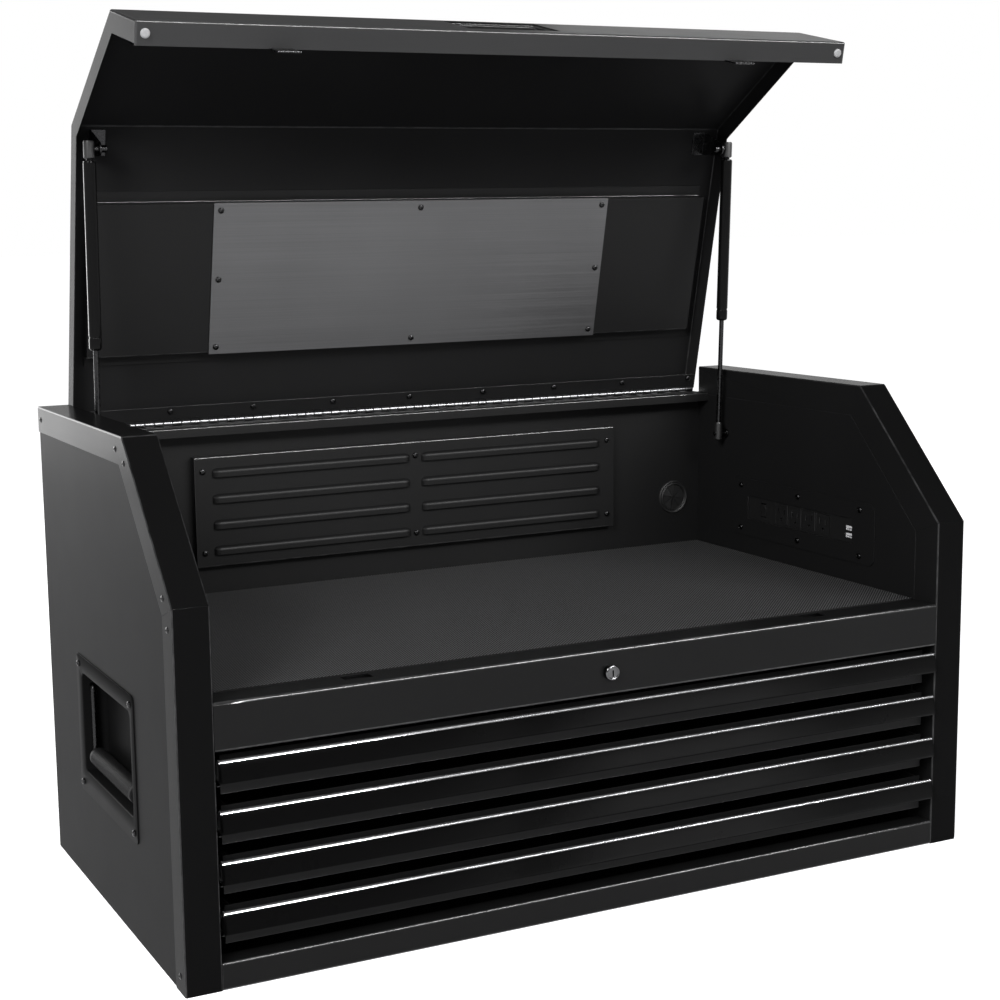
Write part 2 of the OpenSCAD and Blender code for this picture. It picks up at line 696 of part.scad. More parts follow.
// Side handles
module handle_pocket(s) {
    w = pocket_w / 2 + pocket_t;
    h = pocket_h / 2 + pocket_t;
    color(trim_black) on_side(s) difference() {
        union() {
            translate([0, pocket_y, pocket_z])
                along_x(skin_x, pocket_plate_t) round_rect(pocket_plate_w, pocket_plate_h, pocket_corner_r);
            translate([0, mouth_y, mouth_z])
                box([skin_x - pocket_d - pocket_t, -w, -h], [skin_x + 0.5, w, h]);
        }
        translate([0, mouth_y, mouth_z]) box([skin_x - pocket_d, -pocket_w / 2, -pocket_h / 2],
            [skin_x + pocket_plate_t + 1, pocket_w / 2, pocket_h / 2]);
        for (p = pocket_screws()) rod_x(skin_x - 1, p[0], p[1], screw_r + fit_gap, pocket_plate_t + 2);
        rod_y(bail_x, mouth_y - w - 1, bail_z, bail_r + fit_gap, 2 * w + 2);
    }
}
module bail(s) {
    drop = bail_z - grip_z;
    reach = pocket_w / 2 + pocket_t + 1.5;
    on_side(s) translate([bail_x, mouth_y, 0]) {
        color(steel_grey) {
            rod_y(0, -bail_arm_y, grip_z, bail_r, 2 * bail_arm_y);
            for (y = [-1, 1]) {
                translate([0, y * bail_arm_y, grip_z]) cylinder(h = drop, r = bail_r);
                translate([0, y * bail_arm_y, grip_z]) sphere(bail_r);
                translate([0, y * bail_arm_y, bail_z]) sphere(bail_r);
                rod_y(0, y > 0 ? bail_arm_y : -reach, bail_z, bail_r, reach - bail_arm_y);
            }
        }
        color(rubber_black) difference() {
            rod_y(0, -grip_half_l, grip_z, grip_r, 2 * grip_half_l);
            rod_y(0, -grip_half_l - 1, grip_z, bail_r + fit_gap, 2 * grip_half_l + 2);
        }
    }
}

// Hinge
module knuckles(first) {
    for (i = [first:2:knuckle_count - 1])
        rod_x(-hinge_l / 2 + i * knuckle_l + 0.15, hinge_y, hinge_z, knuckle_r, knuckle_l - 0.3);
}
module leaf(first, z, clear) {
    difference() {
        union() {
            box([-hinge_l / 2, hinge_y - hinge_leaf_w, z],
                [hinge_l / 2, hinge_y - knuckle_r - 0.4, z + leaf_t]);
            knuckles(first);
            for (i = [first:2:knuckle_count - 1]) translate([-hinge_l / 2 + i * knuckle_l + 0.15, 0, 0])
                box([0, hinge_y - knuckle_r - 1, z], [knuckle_l - 0.3, hinge_y, z + leaf_t]);
        }
        rod_x(-hinge_l / 2 - 1, hinge_y, hinge_z, hinge_pin_r + clear, hinge_l + 2);
    }
}
module hinge_chest_leaf() { color(steel_grey) leaf(0, ledge_z, fit_gap); }
module hinge_lid_leaf() {
    color(steel_grey) lid_pose() difference() {
        leaf(1, lid_rear_z - leaf_t, fit_gap);
        for (x = leaf_screw_xs()) translate([x, leaf_screw_y, lid_rear_z - leaf_t - 1])
            cylinder(h = leaf_t + 2, r = screw_r + fit_gap);
    }
}
module hinge_pin() { color(zinc) rod_x(-hinge_l / 2, hinge_y, hinge_z, hinge_pin_r, hinge_l); }
function leaf_screw_xs() = [for (i = [0:leaf_screw_count - 1])
    (i - (leaf_screw_count - 1) / 2) * leaf_screw_pitch];

// Lid
module lid_shell() {
    color(body_black) lid_pose() difference() {
        union() {
            along_x(-lid_half_w, 2 * lid_half_w) polygon(band(lid_sheet_path, sheet_t));
            for (x = [-lid_half_w, lid_half_w - sheet_t])
                along_x(x, sheet_t) polygon(band(lid_path, lid_flange));
        }
        box([-cup_w / 2, lid_front_y - 1, cup_z - cup_h / 2],
            [cup_w / 2, lid_front_y + sheet_t + 1, cup_z + cup_h / 2]);
        for (x = leaf_screw_xs()) translate([x, leaf_screw_y, lid_rear_z - 1])
            cylinder(h = sheet_t + 2, r = screw_r + fit_gap);
    }
}
module lid_grip_cup() {
    w = cup_w / 2;
    h = cup_h / 2;
    y = lid_front_y + sheet_t;
    color(body_black) lid_pose() translate([0, 0, cup_z]) difference() {
        union() {
            box([-w - cup_rim, y, -h - cup_rim], [w + cup_rim, y + 1, h + cup_rim]);
            along_x(-w - 1, cup_w + 2) polygon([[y, -h - 1], [y + cup_d + 1, -h - 1],
                [y + cup_d + 1, -h + cup_floor], [y + cup_top_d + 1, h + 1], [y, h + 1]]);
        }
        along_x(-w, cup_w) polygon([[y - 2, -h], [y + cup_d, -h], [y + cup_d, -h + cup_floor],
            [y + cup_top_d, h], [y - 2, h]]);
    }
}
module lid_stiffener() {
    color(inner_black) lid_pose() difference() {
        union() {
            box([-stiffener_half_w, stiffener_lo, plate_z],
                [stiffener_half_w, stiffener_hi, lid_inner_z]);
            box([-stiffener_half_w, stiffener_lo - stiffener_lip, lid_inner_z - sheet_t],
                [stiffener_half_w, stiffener_hi + stiffener_lip, lid_inner_z]);
        }
        box([-stiffener_half_w - 1, stiffener_lo + sheet_t, plate_z + sheet_t],
            [stiffener_half_w + 1, stiffener_hi - sheet_t, lid_inner_z + 1]);
        for (p = plate_screws())
            translate([p[0], p[1], plate_z - 1]) cylinder(h = sheet_t + 2, r = screw_r + fit_gap);
    }
}
function plate_screws() = [for (x = [-1, 0, 1], y = [-1, 0, 1]) if (x != 0 || y != 0)
    [x * (plate_w / 2 - plate_screw_inset), plate_y + y * (plate_d / 2 - plate_screw_inset)]];
module lid_plate() {
    color(steel_grey) lid_pose() difference() {
        box([-plate_w / 2, plate_y - plate_d / 2, plate_z - plate_t],
            [plate_w / 2, plate_y + plate_d / 2, plate_z]);
        for (p = plate_screws()) translate([p[0], p[1], plate_z - plate_t - 1])
            cylinder(h = plate_t + 2, r = screw_r + fit_gap);
    }
}
module lid_screws() {
    color(zinc) lid_pose() {
        for (p = plate_screws()) translate([p[0], p[1], plate_z - plate_t]) rotate([180, 0, 0]) screw(6);
        for (x = leaf_screw_xs())
            translate([x, leaf_screw_y, lid_rear_z - leaf_t]) rotate([180, 0, 0]) screw(6);
    }
}
module lid_hooks() {
    back = hook_y + latch_t;
    seat = lid_low_z + sheet_t;
    color(zinc) lid_pose() for (s = [-1, 1]) translate([s * hook_x - hook_w / 2, 0, 0]) difference() {
        union() {
            box([0, lid_front_y + 10, seat], [hook_w, back, seat + hook_t]);
            box([0, hook_y, hook_low], [hook_w, back, seat + hook_t]);
        }
        box([-1, hook_y - 1, hook_notch_z], [hook_notch_w, back + 1, hook_notch_z + hook_notch_h]);
    }
}
module lid_bumpers() {
    color(zinc) lid_pose() for (s = [-1, 1])
        translate([s * (lid_half_w - 11.5), lid_front_y + 14, lid_low_z - bumper_h])
            rotate_extrude() polygon([[0, 0], [3.5, 0], [5.5, 1.4], [5.5, bumper_h], [0, bumper_h]]);
}
module lid_strut_brackets() {
    y = strut_up_shut[0];
    z = strut_up_shut[1];
    color(zinc) lid_pose() for (s = [-1, 1]) on_side(s) {
        along_x(bracket_x, bracket_t) {
            polygon([[y - bracket_half, lid_inner_z], [y + bracket_half, lid_inner_z],
                [y + bracket_ear_r, z], [y - bracket_ear_r, z]]);
            translate([y, z]) circle(bracket_ear_r);
        }
        box([bracket_x - bracket_foot, y - bracket_half, lid_inner_z - bracket_t],
            [bracket_x + bracket_t, y + bracket_half, lid_inner_z]);
        rod_x(bracket_x - bracket_boss_l, y, z, bracket_boss_r, bracket_boss_l);
    }
}

// Gas struts
module strut_pose() {
    translate([strut_x, strut_low[0], strut_low[1]]) rotate([-strut_lean, 0, 0]) children();
}
module strut_rod(s) {
    foot = strut_len - strut_tube_l - tube_end;
    on_side(s) color(steel_grey) strut_pose() difference() {
        union() {
            translate([0, 0, -socket_foot]) cylinder(h = socket_l, r = socket_r);
            cylinder(h = foot + rod_lap, r = strut_rod_r);
        }
        rod_x(-stud_tip - 0.3, 0, 0, strut_stud_r + fit_gap, 30);
    }
}
module strut_tube(s) {
    foot = strut_len - strut_tube_l - tube_end;
    on_side(s) color(rubber_black) strut_pose() difference() {
        union() {
            translate([0, 0, foot]) cylinder(h = strut_tube_l, r = strut_tube_r);
            translate([0, 0, foot + strut_tube_l]) cylinder(h = 4, r = 4);
            translate([0, 0, strut_len - 12]) cylinder(h = 22, r = socket_r + 1);
            rod_x(bracket_x + bracket_t + seat_gap - strut_x, 0, strut_len, strut_stud_r, 8);
        }
        translate([0, 0, foot - 1]) cylinder(h = strut_tube_l - tube_cap, r = strut_rod_r + fit_gap);
    }
}
module strut_studs() {
    color(zinc) for (s = [-1, 1]) on_side(s) translate([0, strut_low[0], strut_low[1]]) {
        rod_x(strut_x - stud_tip, 0, 0, strut_stud_r, inner_x + 4 - strut_x + stud_tip);
        rod_x(well_x - stud_collar_t, 0, 0, stud_collar_r, stud_collar_t);
        rod_x(inner_x, 0, 0, 6, 4);
    }
}

// Lock
module lock_housing() {
    color(zinc) difference() {
        union() {
            rod_y(0, front_y - lock_head, lock_z, lock_r, lock_head);
            rod_y(0, front_y, lock_z, lock_barrel_r, 20);
        }
        rod_y(0, front_y - lock_head - 1, lock_z, cylinder_r + fit_gap, lock_head + 22);
    }
}
module lock_cylinder() {
    color(steel_grey) difference() {
        union() {
            rod_y(0, front_y - lock_head + 0.5, lock_z, cylinder_r, cam_y - front_y + lock_head - 0.5);
            rod_y(0, cam_y, lock_z, cam_arm + 3, cam_t);
            translate([0, 0, lock_z]) rotate([0, -45, 0])
                rod_y(0, cam_y, cam_arm, cam_pin_r, latch_y + latch_t + 1 - cam_y);
        }
        box([-key_slot / 2, front_y - lock_head, lock_z - 4.5], [key_slot / 2, front_y + 6, lock_z + 3]);
    }
}
module latch_bar() {
    pin_x = -cam_arm * sin(45);
    pin_z = lock_z + cam_arm * cos(45);
    finger_z = hook_notch_z + 1;
    color(zinc) difference() {
        union() {
            box([-hook_x - hook_w / 2 - finger_l, latch_y, latch_low],
                [hook_x - hook_w / 2, latch_y + latch_t, latch_low + bar_h]);
            box([-finger_l, latch_y, latch_low], [finger_l, latch_y + latch_t, lock_z + 16]);
            for (s = [-1, 1]) translate([s * hook_x - hook_w / 2, 0, 0]) {
                box([-finger_l, latch_y, latch_low],
                    [finger_post - finger_l, latch_y + latch_t, finger_z + finger_t]);
                box([-finger_l, latch_y, finger_z], [-2, latch_y + latch_t, finger_z + finger_t]);
            }
        }
        translate([pin_x, latch_y - 1, pin_z + 1.5])
            box([-cam_pin_r - 0.6, 0, -cam_pin_r - 2.5], [cam_pin_r + 0.6, latch_t + 2, cam_pin_r + 3]);
    }
}

// Drawer slides: three nested channels on each side, with their middle on the slide's height
module channel(x0, x1, web_at_outer, half_h, y0, y1) {
    box([web_at_outer ? x1 - slide_t : x0, y0, -half_h], [web_at_outer ? x1 : x0 + slide_t, y1, half_h]);
    for (z = [-half_h, half_h - slide_t]) box([x0, y0, z], [x1, y1, z + slide_t]);
}
module cabinet_rails() {
    color(zinc) for (s = [-1, 1], i = [1:drawer_count]) on_side(s) translate([0, 0, slide_z(i)])
        channel(well_x - slide_w + 4, well_x, true, slide_h / 2, slide_front_y, slide_back_y);
}
module drawer_slides(i) {
    step = slide_t + slide_play;
    color(zinc) for (s = [-1, 1]) on_side(s) translate([0, 0, slide_z(i)])
        channel(well_x - slide_w + 2, well_x - step, true, slide_h / 2 - step,
            slide_front_y, slide_back_y);
}
module drawer_rails(i) {
    step = slide_t + slide_play;
    color(zinc) for (s = [-1, 1]) on_side(s) translate([0, 0, slide_z(i)])
        channel(tray_half_w, well_x - 2 * step - 1, false, slide_h / 2 - 2 * step,
            face_y + sheet_t, slide_back_y);
}
module drawer_tray(i) {
    low = lip_z(i) - face_drop;
    color(body_black) union() {
        difference() {
            box([-tray_half_w, face_y + sheet_t, low], [tray_half_w, face_y + tray_d, low + tray_h]);
            box([-tray_half_w + tray_t, face_y + sheet_t - 1, low + tray_t],
                [tray_half_w - tray_t, face_y + tray_d - tray_t, low + tray_h + 1]);
        }
        box([-face_half_w, face_y, low], [face_half_w, face_y + sheet_t, low + tray_h]);
    }
}
function pull_front(t) = [1.5 - 4.5 * t - pull_bulge * sin(180 * t), -pull_h * t];
module drawer_pull(i) {
    steps = 10;
    outer = [for (k = [0:steps]) pull_front(k / steps)];
    inner = [for (k = [steps:-1:0])
        [pull_front(k / steps)[0] + pull_t, max(-pull_h * k / steps, -pull_h + pull_t)]];
    color(trim_black) translate([0, front_y, lip_z(i)]) {
        along_x(-pull_half_w, 2 * pull_half_w) {
            polygon(concat(outer, inner));
            translate([pull_front(1)[0], -pull_h]) square([face_recess - pull_front(1)[0], pull_t]);
            translate([face_recess - pull_t, -pull_h]) square([pull_t, pull_h - 10]);
        }
        for (x = [-pull_half_w, pull_half_w - 1.5])
            along_x(x, 1.5) polygon(concat(outer, [[face_recess, -pull_h], [face_recess, -10], [4, 0]]));
    }
}

base_pan();
bottom_rail();
front_rail();
side_panel(-1);  // left_side_panel
side_panel(1);  // right_side_panel
inner_panel(-1);  // left_inner_panel
inner_panel(1);  // right_inner_panel
trim(-1);  // left_trim
trim(1);  // right_trim
back_panel();
till_floor();
till_mat();
louvred_panel();
panel_screws();
cable_grommet();
power_strip_bezel();
power_strip_body();
power_sockets();
hinge_chest_leaf();
hinge_pin();
handle_pocket(-1);  // left_handle_pocket
handle_pocket(1);  // right_handle_pocket
cabinet_rails();
trim_rivets();
strut_studs();
lock_housing();
lid_shell();
lid_stiffener();
lid_plate();
lid_screws();
hinge_lid_leaf();
lid_hooks();
lid_bumpers();
lid_grip_cup();
lid_strut_brackets();
strut_tube(-1);  // left_strut_tube
strut_rod(-1);  // left_strut_rod
strut_tube(1);  // right_strut_tube
strut_rod(1);  // right_strut_rod
bail(-1);  // left_bail
bail(1);  // right_bail
lock_cylinder();
latch_bar();
power_switch();
drawer_tray(1);  // drawer_1_tray
drawer_tray(2);  // drawer_2_tray
drawer_tray(3);  // drawer_3_tray
drawer_tray(4);  // drawer_4_tray
drawer_pull(1);  // drawer_1_pull
drawer_pull(2);  // drawer_2_pull
drawer_pull(3);  // drawer_3_pull
drawer_pull(4);  // drawer_4_pull
drawer_rails(1);  // drawer_1_rails
drawer_rails(2);  // drawer_2_rails
drawer_rails(3);  // drawer_3_rails
drawer_rails(4);  // drawer_4_rails
drawer_slides(1);  // drawer_1_slides
drawer_slides(2);  // drawer_2_slides
drawer_slides(3);  // drawer_3_slides
drawer_slides(4);  // drawer_4_slides
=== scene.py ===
import json
import math
import bmesh
import bpy
from mathutils import Matrix, Vector


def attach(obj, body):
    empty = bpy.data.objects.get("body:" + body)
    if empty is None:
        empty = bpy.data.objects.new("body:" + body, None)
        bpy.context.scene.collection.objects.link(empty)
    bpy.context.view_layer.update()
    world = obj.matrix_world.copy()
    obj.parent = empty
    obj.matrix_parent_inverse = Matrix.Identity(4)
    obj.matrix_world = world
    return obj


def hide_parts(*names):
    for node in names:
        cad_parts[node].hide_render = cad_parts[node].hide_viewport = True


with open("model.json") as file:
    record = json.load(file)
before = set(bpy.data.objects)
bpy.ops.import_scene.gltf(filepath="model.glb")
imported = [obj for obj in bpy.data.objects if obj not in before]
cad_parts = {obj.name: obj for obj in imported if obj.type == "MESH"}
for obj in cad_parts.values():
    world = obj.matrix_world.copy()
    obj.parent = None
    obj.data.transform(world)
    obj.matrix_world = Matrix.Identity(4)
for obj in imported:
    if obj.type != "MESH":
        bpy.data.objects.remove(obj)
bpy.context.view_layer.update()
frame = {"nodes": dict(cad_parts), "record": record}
nodes = frame["nodes"]
scene = bpy.context.scene
slotOf = {part["node"]: part["material_slot"] for part in frame["record"]["subparts"]}
bodyOf = {node: body for body, held in frame["record"]["behaviour"]["bodies"].items() for node in held}

# Camera, light and floor

view = {
    "place": (-1.05606, -1.99205, 0.81025),
    "yaw": 25.42,  # degrees from +Y towards +X
    "pitch": -8.74,
    "roll": -0.96,
    "lens": 64.80,  # on a 36 mm sensor
    "shift": (0.07746, -0.00819),
}


def addCamera():
    yaw, pitch, roll = (math.radians(view[k]) for k in ("yaw", "pitch", "roll"))
    ahead = Vector((math.sin(yaw) * math.cos(pitch), math.cos(yaw) * math.cos(pitch), math.sin(pitch)))
    right = Vector((math.cos(yaw), -math.sin(yaw), 0))
    up = right.cross(ahead)
    side = right * math.cos(roll) + up * math.sin(roll)
    top = up * math.cos(roll) - right * math.sin(roll)
    camera = bpy.data.objects.new("camera", bpy.data.cameras.new("camera"))
    camera.matrix_world = Matrix.Translation(view["place"]) @ Matrix((side, top, -ahead)).transposed().to_4x4()
    camera.data.sensor_width = 36
    camera.data.lens = view["lens"]
    camera.data.shift_x, camera.data.shift_y = view["shift"]
    scene.collection.objects.link(camera)
    scene.camera = camera


lamps = {  # name: place, aim, size, power, lights matt surfaces too
    "backLeft": ((-1.4, 3.0, 0.9), (-0.5, 0, 0.45), (1.6, 1.6), 34, True),
    "keyLeft": ((-2.6, -1.9, 2.3), (0.3, 0.0, 0.4), (1.4, 1.4), 90, True),
    "frontFill": ((1.3, -2.9, 2.4), (0.1, 0, 0.3), (3.2, 0.5), 40, True),
    "frontStrip": ((1.3, -2.95, 2.45), (0.1, 0, 0.3), (3.2, 0.5), 360, False),
    "backRight": ((3.1, 2.8, 2.1), (0.5, 0.1, 0.9), (2.4, 1.2), 9, True),
}


def addLamps():
    for name, (place, aim, size, power, matt) in lamps.items():
        data = bpy.data.lights.new(name, "AREA")
        data.shape = "RECTANGLE"
        data.size, data.size_y = size
        data.energy = power
        lamp = bpy.data.objects.new(name, data)
        lamp.visible_diffuse = matt
        turn = (Vector(aim) - Vector(place)).to_track_quat("-Z", "Y")
        lamp.matrix_world = Matrix.Translation(place) @ turn.to_matrix().to_4x4()
        scene.collection.objects.link(lamp)


class Tree:
    # a short way to place and join nodes
    def __init__(self, tree):
        self.tree = tree

    def join(self, value, socket):
        self.tree.links.new(value, socket)

    def add(self, kind, inputs=None, **settings):
        node = self.tree.nodes.new(kind)
        for key, value in settings.items():
            setattr(node, key, value)
        for key, value in (inputs or {}).items():
            socket = node.inputs[key]
            if isinstance(value, bpy.types.NodeSocket):
                self.join(value, socket)
            else:
                socket.default_value = value
        return node

    def math(self, operation, a, b=0.0, c=0.0, clamp=False):
        return self.add("ShaderNodeMath", {0: a, 1: b, 2: c}, operation=operation, use_clamp=clamp).outputs[0]

    def blend(self, factor, a, b):
        return self.add("ShaderNodeMix", {0: factor, 6: a, 7: b}, data_type="RGBA").outputs[2]

    def weigh(self, a, b, share):
        # a for its share and b for the rest
        return self.math("MULTIPLY_ADD", a, share, self.math("MULTIPLY", b, 1 - share))

    def noise(self, place, scale, detail):
        return self.add("ShaderNodeTexNoise", {"Vector": place, "Scale": scale, "Detail": detail}).outputs[0]

    def ramp(self, value, low, high, first, last):
        return self.add("ShaderNodeMapRange", {0: value, 1: low, 2: high, 3: first, 4: last}).outputs[0]

    def seenRays(self):
        # 1 for the rays that look at the background
        rays = self.add("ShaderNodeLightPath").outputs
        seen = self.math("MAXIMUM", rays["Is Camera Ray"], rays["Is Glossy Ray"])
        return self.math("MAXIMUM", seen, rays["Is Transmission Ray"])


def grey(tone):
    return (tone, tone, tone * 1.02, 1)


def newMaterial(name):
    material = bpy.data.materials.new(name)
    material.use_nodes = True
    material.node_tree.nodes.clear()
    return material, Tree(material.node_tree)


studio = {
    "seen": 1.0,  # what camera, glossy and transmission rays see behind the object
    "ambient": 0.4,
    "ceiling": 0.12,  # what glossy rays see above the pale backdrop
    "backdropTop": (0.12, 0.26),  # rise of the rays between which it ends
    "floorTone": 0.5,  # floor as it lights the object
    "floorSeen": 0.8,
    "floorLift": 0.72,
    "floorReach": 40.0,
}


def addWorld():
    world = bpy.data.worlds.new("studio")
    scene.world = world
    world.use_nodes = True
    world.node_tree.nodes.clear()
    t = Tree(world.node_tree)
    seen = t.seenRays()
    rise = t.add("ShaderNodeSeparateXYZ", {0: t.add("ShaderNodeTexCoord").outputs["Generated"]}).outputs[2]
    low, high = studio["backdropTop"]
    backdrop = t.ramp(rise, low, high, studio["seen"], studio["ceiling"])
    watched = t.add("ShaderNodeLightPath").outputs["Is Camera Ray"]
    shown = t.math("MAXIMUM", backdrop, t.math("MULTIPLY", watched, studio["seen"]))
    white = t.add("ShaderNodeBackground", {"Color": (1, 1, 1, 1), "Strength": shown})
    dim = t.add("ShaderNodeBackground", {"Color": (1, 1, 1, 1), "Strength": studio["ambient"]})
    mixed = t.add("ShaderNodeMixShader", {0: seen, 1: dim.outputs[0], 2: white.outputs[0]})
    t.add("ShaderNodeOutputWorld", {"Surface": mixed.outputs[0]})


def addFloor():
    mesh = bpy.data.meshes.new("floor")
    r = studio["floorReach"]
    mesh.from_pydata([(-r, -r, 0), (r, -r, 0), (r, r, 0), (-r, r, 0)], [], [(0, 1, 2, 3)])
    floor = bpy.data.objects.new("floor", mesh)
    scene.collection.objects.link(floor)
    material, t = newMaterial("floorPaint")
    shade = t.add("ShaderNodeBsdfDiffuse", {"Color": grey(studio["floorTone"])})
    bright = t.add("ShaderNodeBsdfDiffuse", {"Color": grey(studio["floorSeen"])})
    lift = t.add("ShaderNodeEmission", {"Color": (1, 1, 1, 1), "Strength": studio["floorLift"]})
    seen = t.add("ShaderNodeAddShader", {0: bright.outputs[0], 1: lift.outputs[0]})
    mixed = t.add("ShaderNodeMixShader", {0: t.seenRays(), 1: shade.outputs[0], 2: seen.outputs[0]})
    t.add("ShaderNodeOutputMaterial", {"Surface": mixed.outputs[0]})
    mesh.materials.append(material)


scene.view_settings.view_transform = "Standard"
addCamera()
addLamps()
addWorld()
addFloor()
print("studio ready")

# Shared shader groups

noiseSpan = (0.3, 0.7)  # where nearly all values of a noise lie


def shaderGroup(name, inputs, outputs):
    tree = bpy.data.node_groups.new(name, "ShaderNodeTree")
    for label, kind, value in inputs:
        socket = tree.interface.new_socket(label, in_out="INPUT", socket_type="NodeSocket" + kind)
        if value is not None:
            socket.default_value = value
    for label, kind in outputs:
        tree.interface.new_socket(label, in_out="OUTPUT", socket_type="NodeSocket" + kind)
    t = Tree(tree)
    return tree, t, t.add("NodeGroupInput").outputs, t.add("NodeGroupOutput").inputs


def makeCoatGrain():
    # orange peel of a sprayed coat, with a slow change of tone over a panel
    tree, t, given, result = shaderGroup("coatGrain", [
        ("Vector", "Vector", None), ("Peel", "Float", 420.0), ("Speckle", "Float", 2600.0), ("Drift", "Float", 5.0)],
        [("Height", "Float"), ("Tone", "Float"), ("Gloss", "Float")])
    place = given["Vector"]
    peel = t.noise(place, given["Peel"], 2.0)
    speck = t.noise(place, given["Speckle"], 1.0)
    drift = t.noise(place, given["Drift"], 3.0)
    smear = t.noise(place, t.math("MULTIPLY", given["Drift"], 4.3), 5.0)
    t.join(t.weigh(peel, speck, 0.7), result["Height"])
    t.join(t.weigh(drift, speck, 0.6), result["Tone"])
    t.join(t.weigh(smear, drift, 0.5), result["Gloss"])
    return tree


def makeFoldWear():
    # rubbed folds and sheet edges, from the "fold" attribute
    tree, t, given, result = shaderGroup("foldWear", [
        ("Vector", "Vector", None), ("Fold", "Float", 0.0), ("Amount", "Float", 0.5), ("Breakup", "Float", 60.0)],
        [("Mask", "Float")])
    rubbed = t.ramp(t.noise(given["Vector"], given["Breakup"], 4.0), 0.35, 0.65, 0.25, 1.0)
    patches = t.math("MULTIPLY", given["Fold"], rubbed)
    t.join(t.math("MULTIPLY", patches, given["Amount"], clamp=True), result["Mask"])
    return tree


def makeBrushMarks():
    # long fine lines left by a belt or a brush
    tree, t, given, result = shaderGroup("brushMarks", [
        ("Vector", "Vector", None), ("Stretch", "Vector", (4.0, 900.0, 900.0)), ("Depth", "Float", 1.0)],
        [("Tone", "Float"), ("Height", "Float")])
    moved = t.add("ShaderNodeVectorMath", {0: given["Vector"], 1: given["Stretch"]}, operation="MULTIPLY")
    fine = t.noise(moved.outputs[0], 1.0, 4.0)
    cloudy = t.noise(given["Vector"], 9.0, 2.0)
    t.join(t.weigh(fine, cloudy, 0.75), result["Tone"])
    t.join(t.math("MULTIPLY", fine, given["Depth"]), result["Height"])
    return tree


def makeSettledDust():
    # pale dust in the grain of rubber and on top of it
    tree, t, given, result = shaderGroup("settledDust", [
        ("Vector", "Vector", None), ("Scale", "Float", 180.0), ("Amount", "Float", 0.2)], [("Mask", "Float")])
    fine = t.noise(given["Vector"], given["Scale"], 6.0)
    broad = t.noise(given["Vector"], 6.0, 2.0)
    t.join(t.ramp(t.math("MULTIPLY", fine, broad), 0.12, 0.42, 0.0, given["Amount"]), result["Mask"])
    return tree


coatGrain = makeCoatGrain()
foldWear = makeFoldWear()
brushMarks = makeBrushMarks()
settledDust = makeSettledDust()

# Finishes, one for each slot

coatFields = ("tone", "rough", "bump", "wear", "specular", "peel", "glance", "shine", "metal")
coats = {  # sprayed sheet; glance: gloss at a low angle, shine: gloss of the folds, metal: folds painted as pale bare metal, a painted highlight
    "black_coat": (0.016, 0.40, 0.06, 0.6, 0.01, 420.0, 0.0, 0.3),
    "trim_coat": (0.0065, 0.26, 0.05, 0.4, 0.012, 480.0, 0.05, 0.3),
    "inner_coat": (0.010, 0.46, 0.14, 0.6, 0.10, 700.0, 0.0, 0.6),
    "drawer_coat": (0.010, 0.38, 0.08, 0.3, 0.10, 480.0, 0.0, 0.2),
    "pull_coat": (0.003, 0.28, 0.03, 0.2, 0.02, 300.0, 0.1, 1.0, 0.85),
    "hinge_coat": (0.014, 0.34, 0.05, 0.5, 0.06, 500.0, 0.0, 0.15),
    "strut_coat": (0.005, 0.14, 0.01, 0.2, 0.08, 300.0, 0.8, 0.5),
    "lidCoat": (0.020, 0.30, 0.06, 0.4, 0.008, 420.0, 0.0, 0.15),
    "lipCoat": (0.042, 0.34, 0.06, 0.4, 0.12, 420.0, 0.0, 0.3),
    "railCoat": (0.009, 0.34, 0.06, 0.5, 0.08, 480.0, 0.0, 0.5),
    "pocketCoat": (0.007, 0.42, 0.06, 0.5, 0.01, 480.0, 0.0, 0.3),
}
coatDrift = {"dark": 0.72, "light": 1.3, "gloss": 0.02}  # how far a coat changes over a panel
wornAndHighlight = {"tone": 0.09, "polish": -0.12, "bare": 0.52}  # rubbed folds: tone, change of roughness; tone of the bare metal painted on folds as a painted highlight
glossy = {"rough": 0.12, "ior": 1.55, "from": 0.55, "to": 0.8}  # the hard shine of folds and of low angles


def sprayedCoat(name, look):
    material, t = newMaterial(name)
    place = t.add("ShaderNodeTexCoord").outputs["Object"]
    grain = t.add("ShaderNodeGroup", {"Vector": place, "Peel": look["peel"]}, node_tree=coatGrain).outputs
    fold = t.add("ShaderNodeAttribute", attribute_name="fold").outputs["Fac"]
    wear = t.add("ShaderNodeGroup", {"Vector": place, "Fold": fold, "Amount": look["wear"]}, node_tree=foldWear)
    rubbed = wear.outputs["Mask"]
    tone, rough, drift = look["tone"], look["rough"], coatDrift["gloss"]
    plain = t.blend(grain["Tone"], grey(tone * coatDrift["dark"]), grey(tone * coatDrift["light"]))
    colour = t.blend(rubbed, plain, grey(wornAndHighlight["tone"]))
    gloss = t.ramp(grain["Gloss"], *noiseSpan, rough - drift, rough + drift)
    polish = t.math("MULTIPLY_ADD", rubbed, wornAndHighlight["polish"], gloss)
    bump = t.add("ShaderNodeBump", {"Height": grain["Height"], "Strength": look["bump"], "Distance": 0.001})
    facing = t.add("ShaderNodeLayerWeight", {"Blend": 0.5}).outputs["Facing"]
    glance = t.ramp(facing, glossy["from"], glossy["to"], 0.0, look["glance"])
    coat = t.math("MAXIMUM", t.math("MULTIPLY", fold, look["shine"]), glance)
    # folds of a coat with a metal share are painted as pale bare metal: a painted highlight
    if "metal" in look:
        colour = t.blend(fold, colour, grey(wornAndHighlight["bare"]))
    shader = t.add("ShaderNodeBsdfPrincipled", {
        "Base Color": colour, "Roughness": polish, "Normal": bump.outputs[0], "Specular IOR Level": look["specular"],
        "Coat Weight": coat, "Coat Roughness": glossy["rough"], "Coat IOR": glossy["ior"]})
    if "metal" in look:
        t.join(t.math("MULTIPLY", fold, look["metal"]), shader.inputs["Metallic"])
    t.add("ShaderNodeOutputMaterial", {"Surface": shader.outputs[0]})
    return material


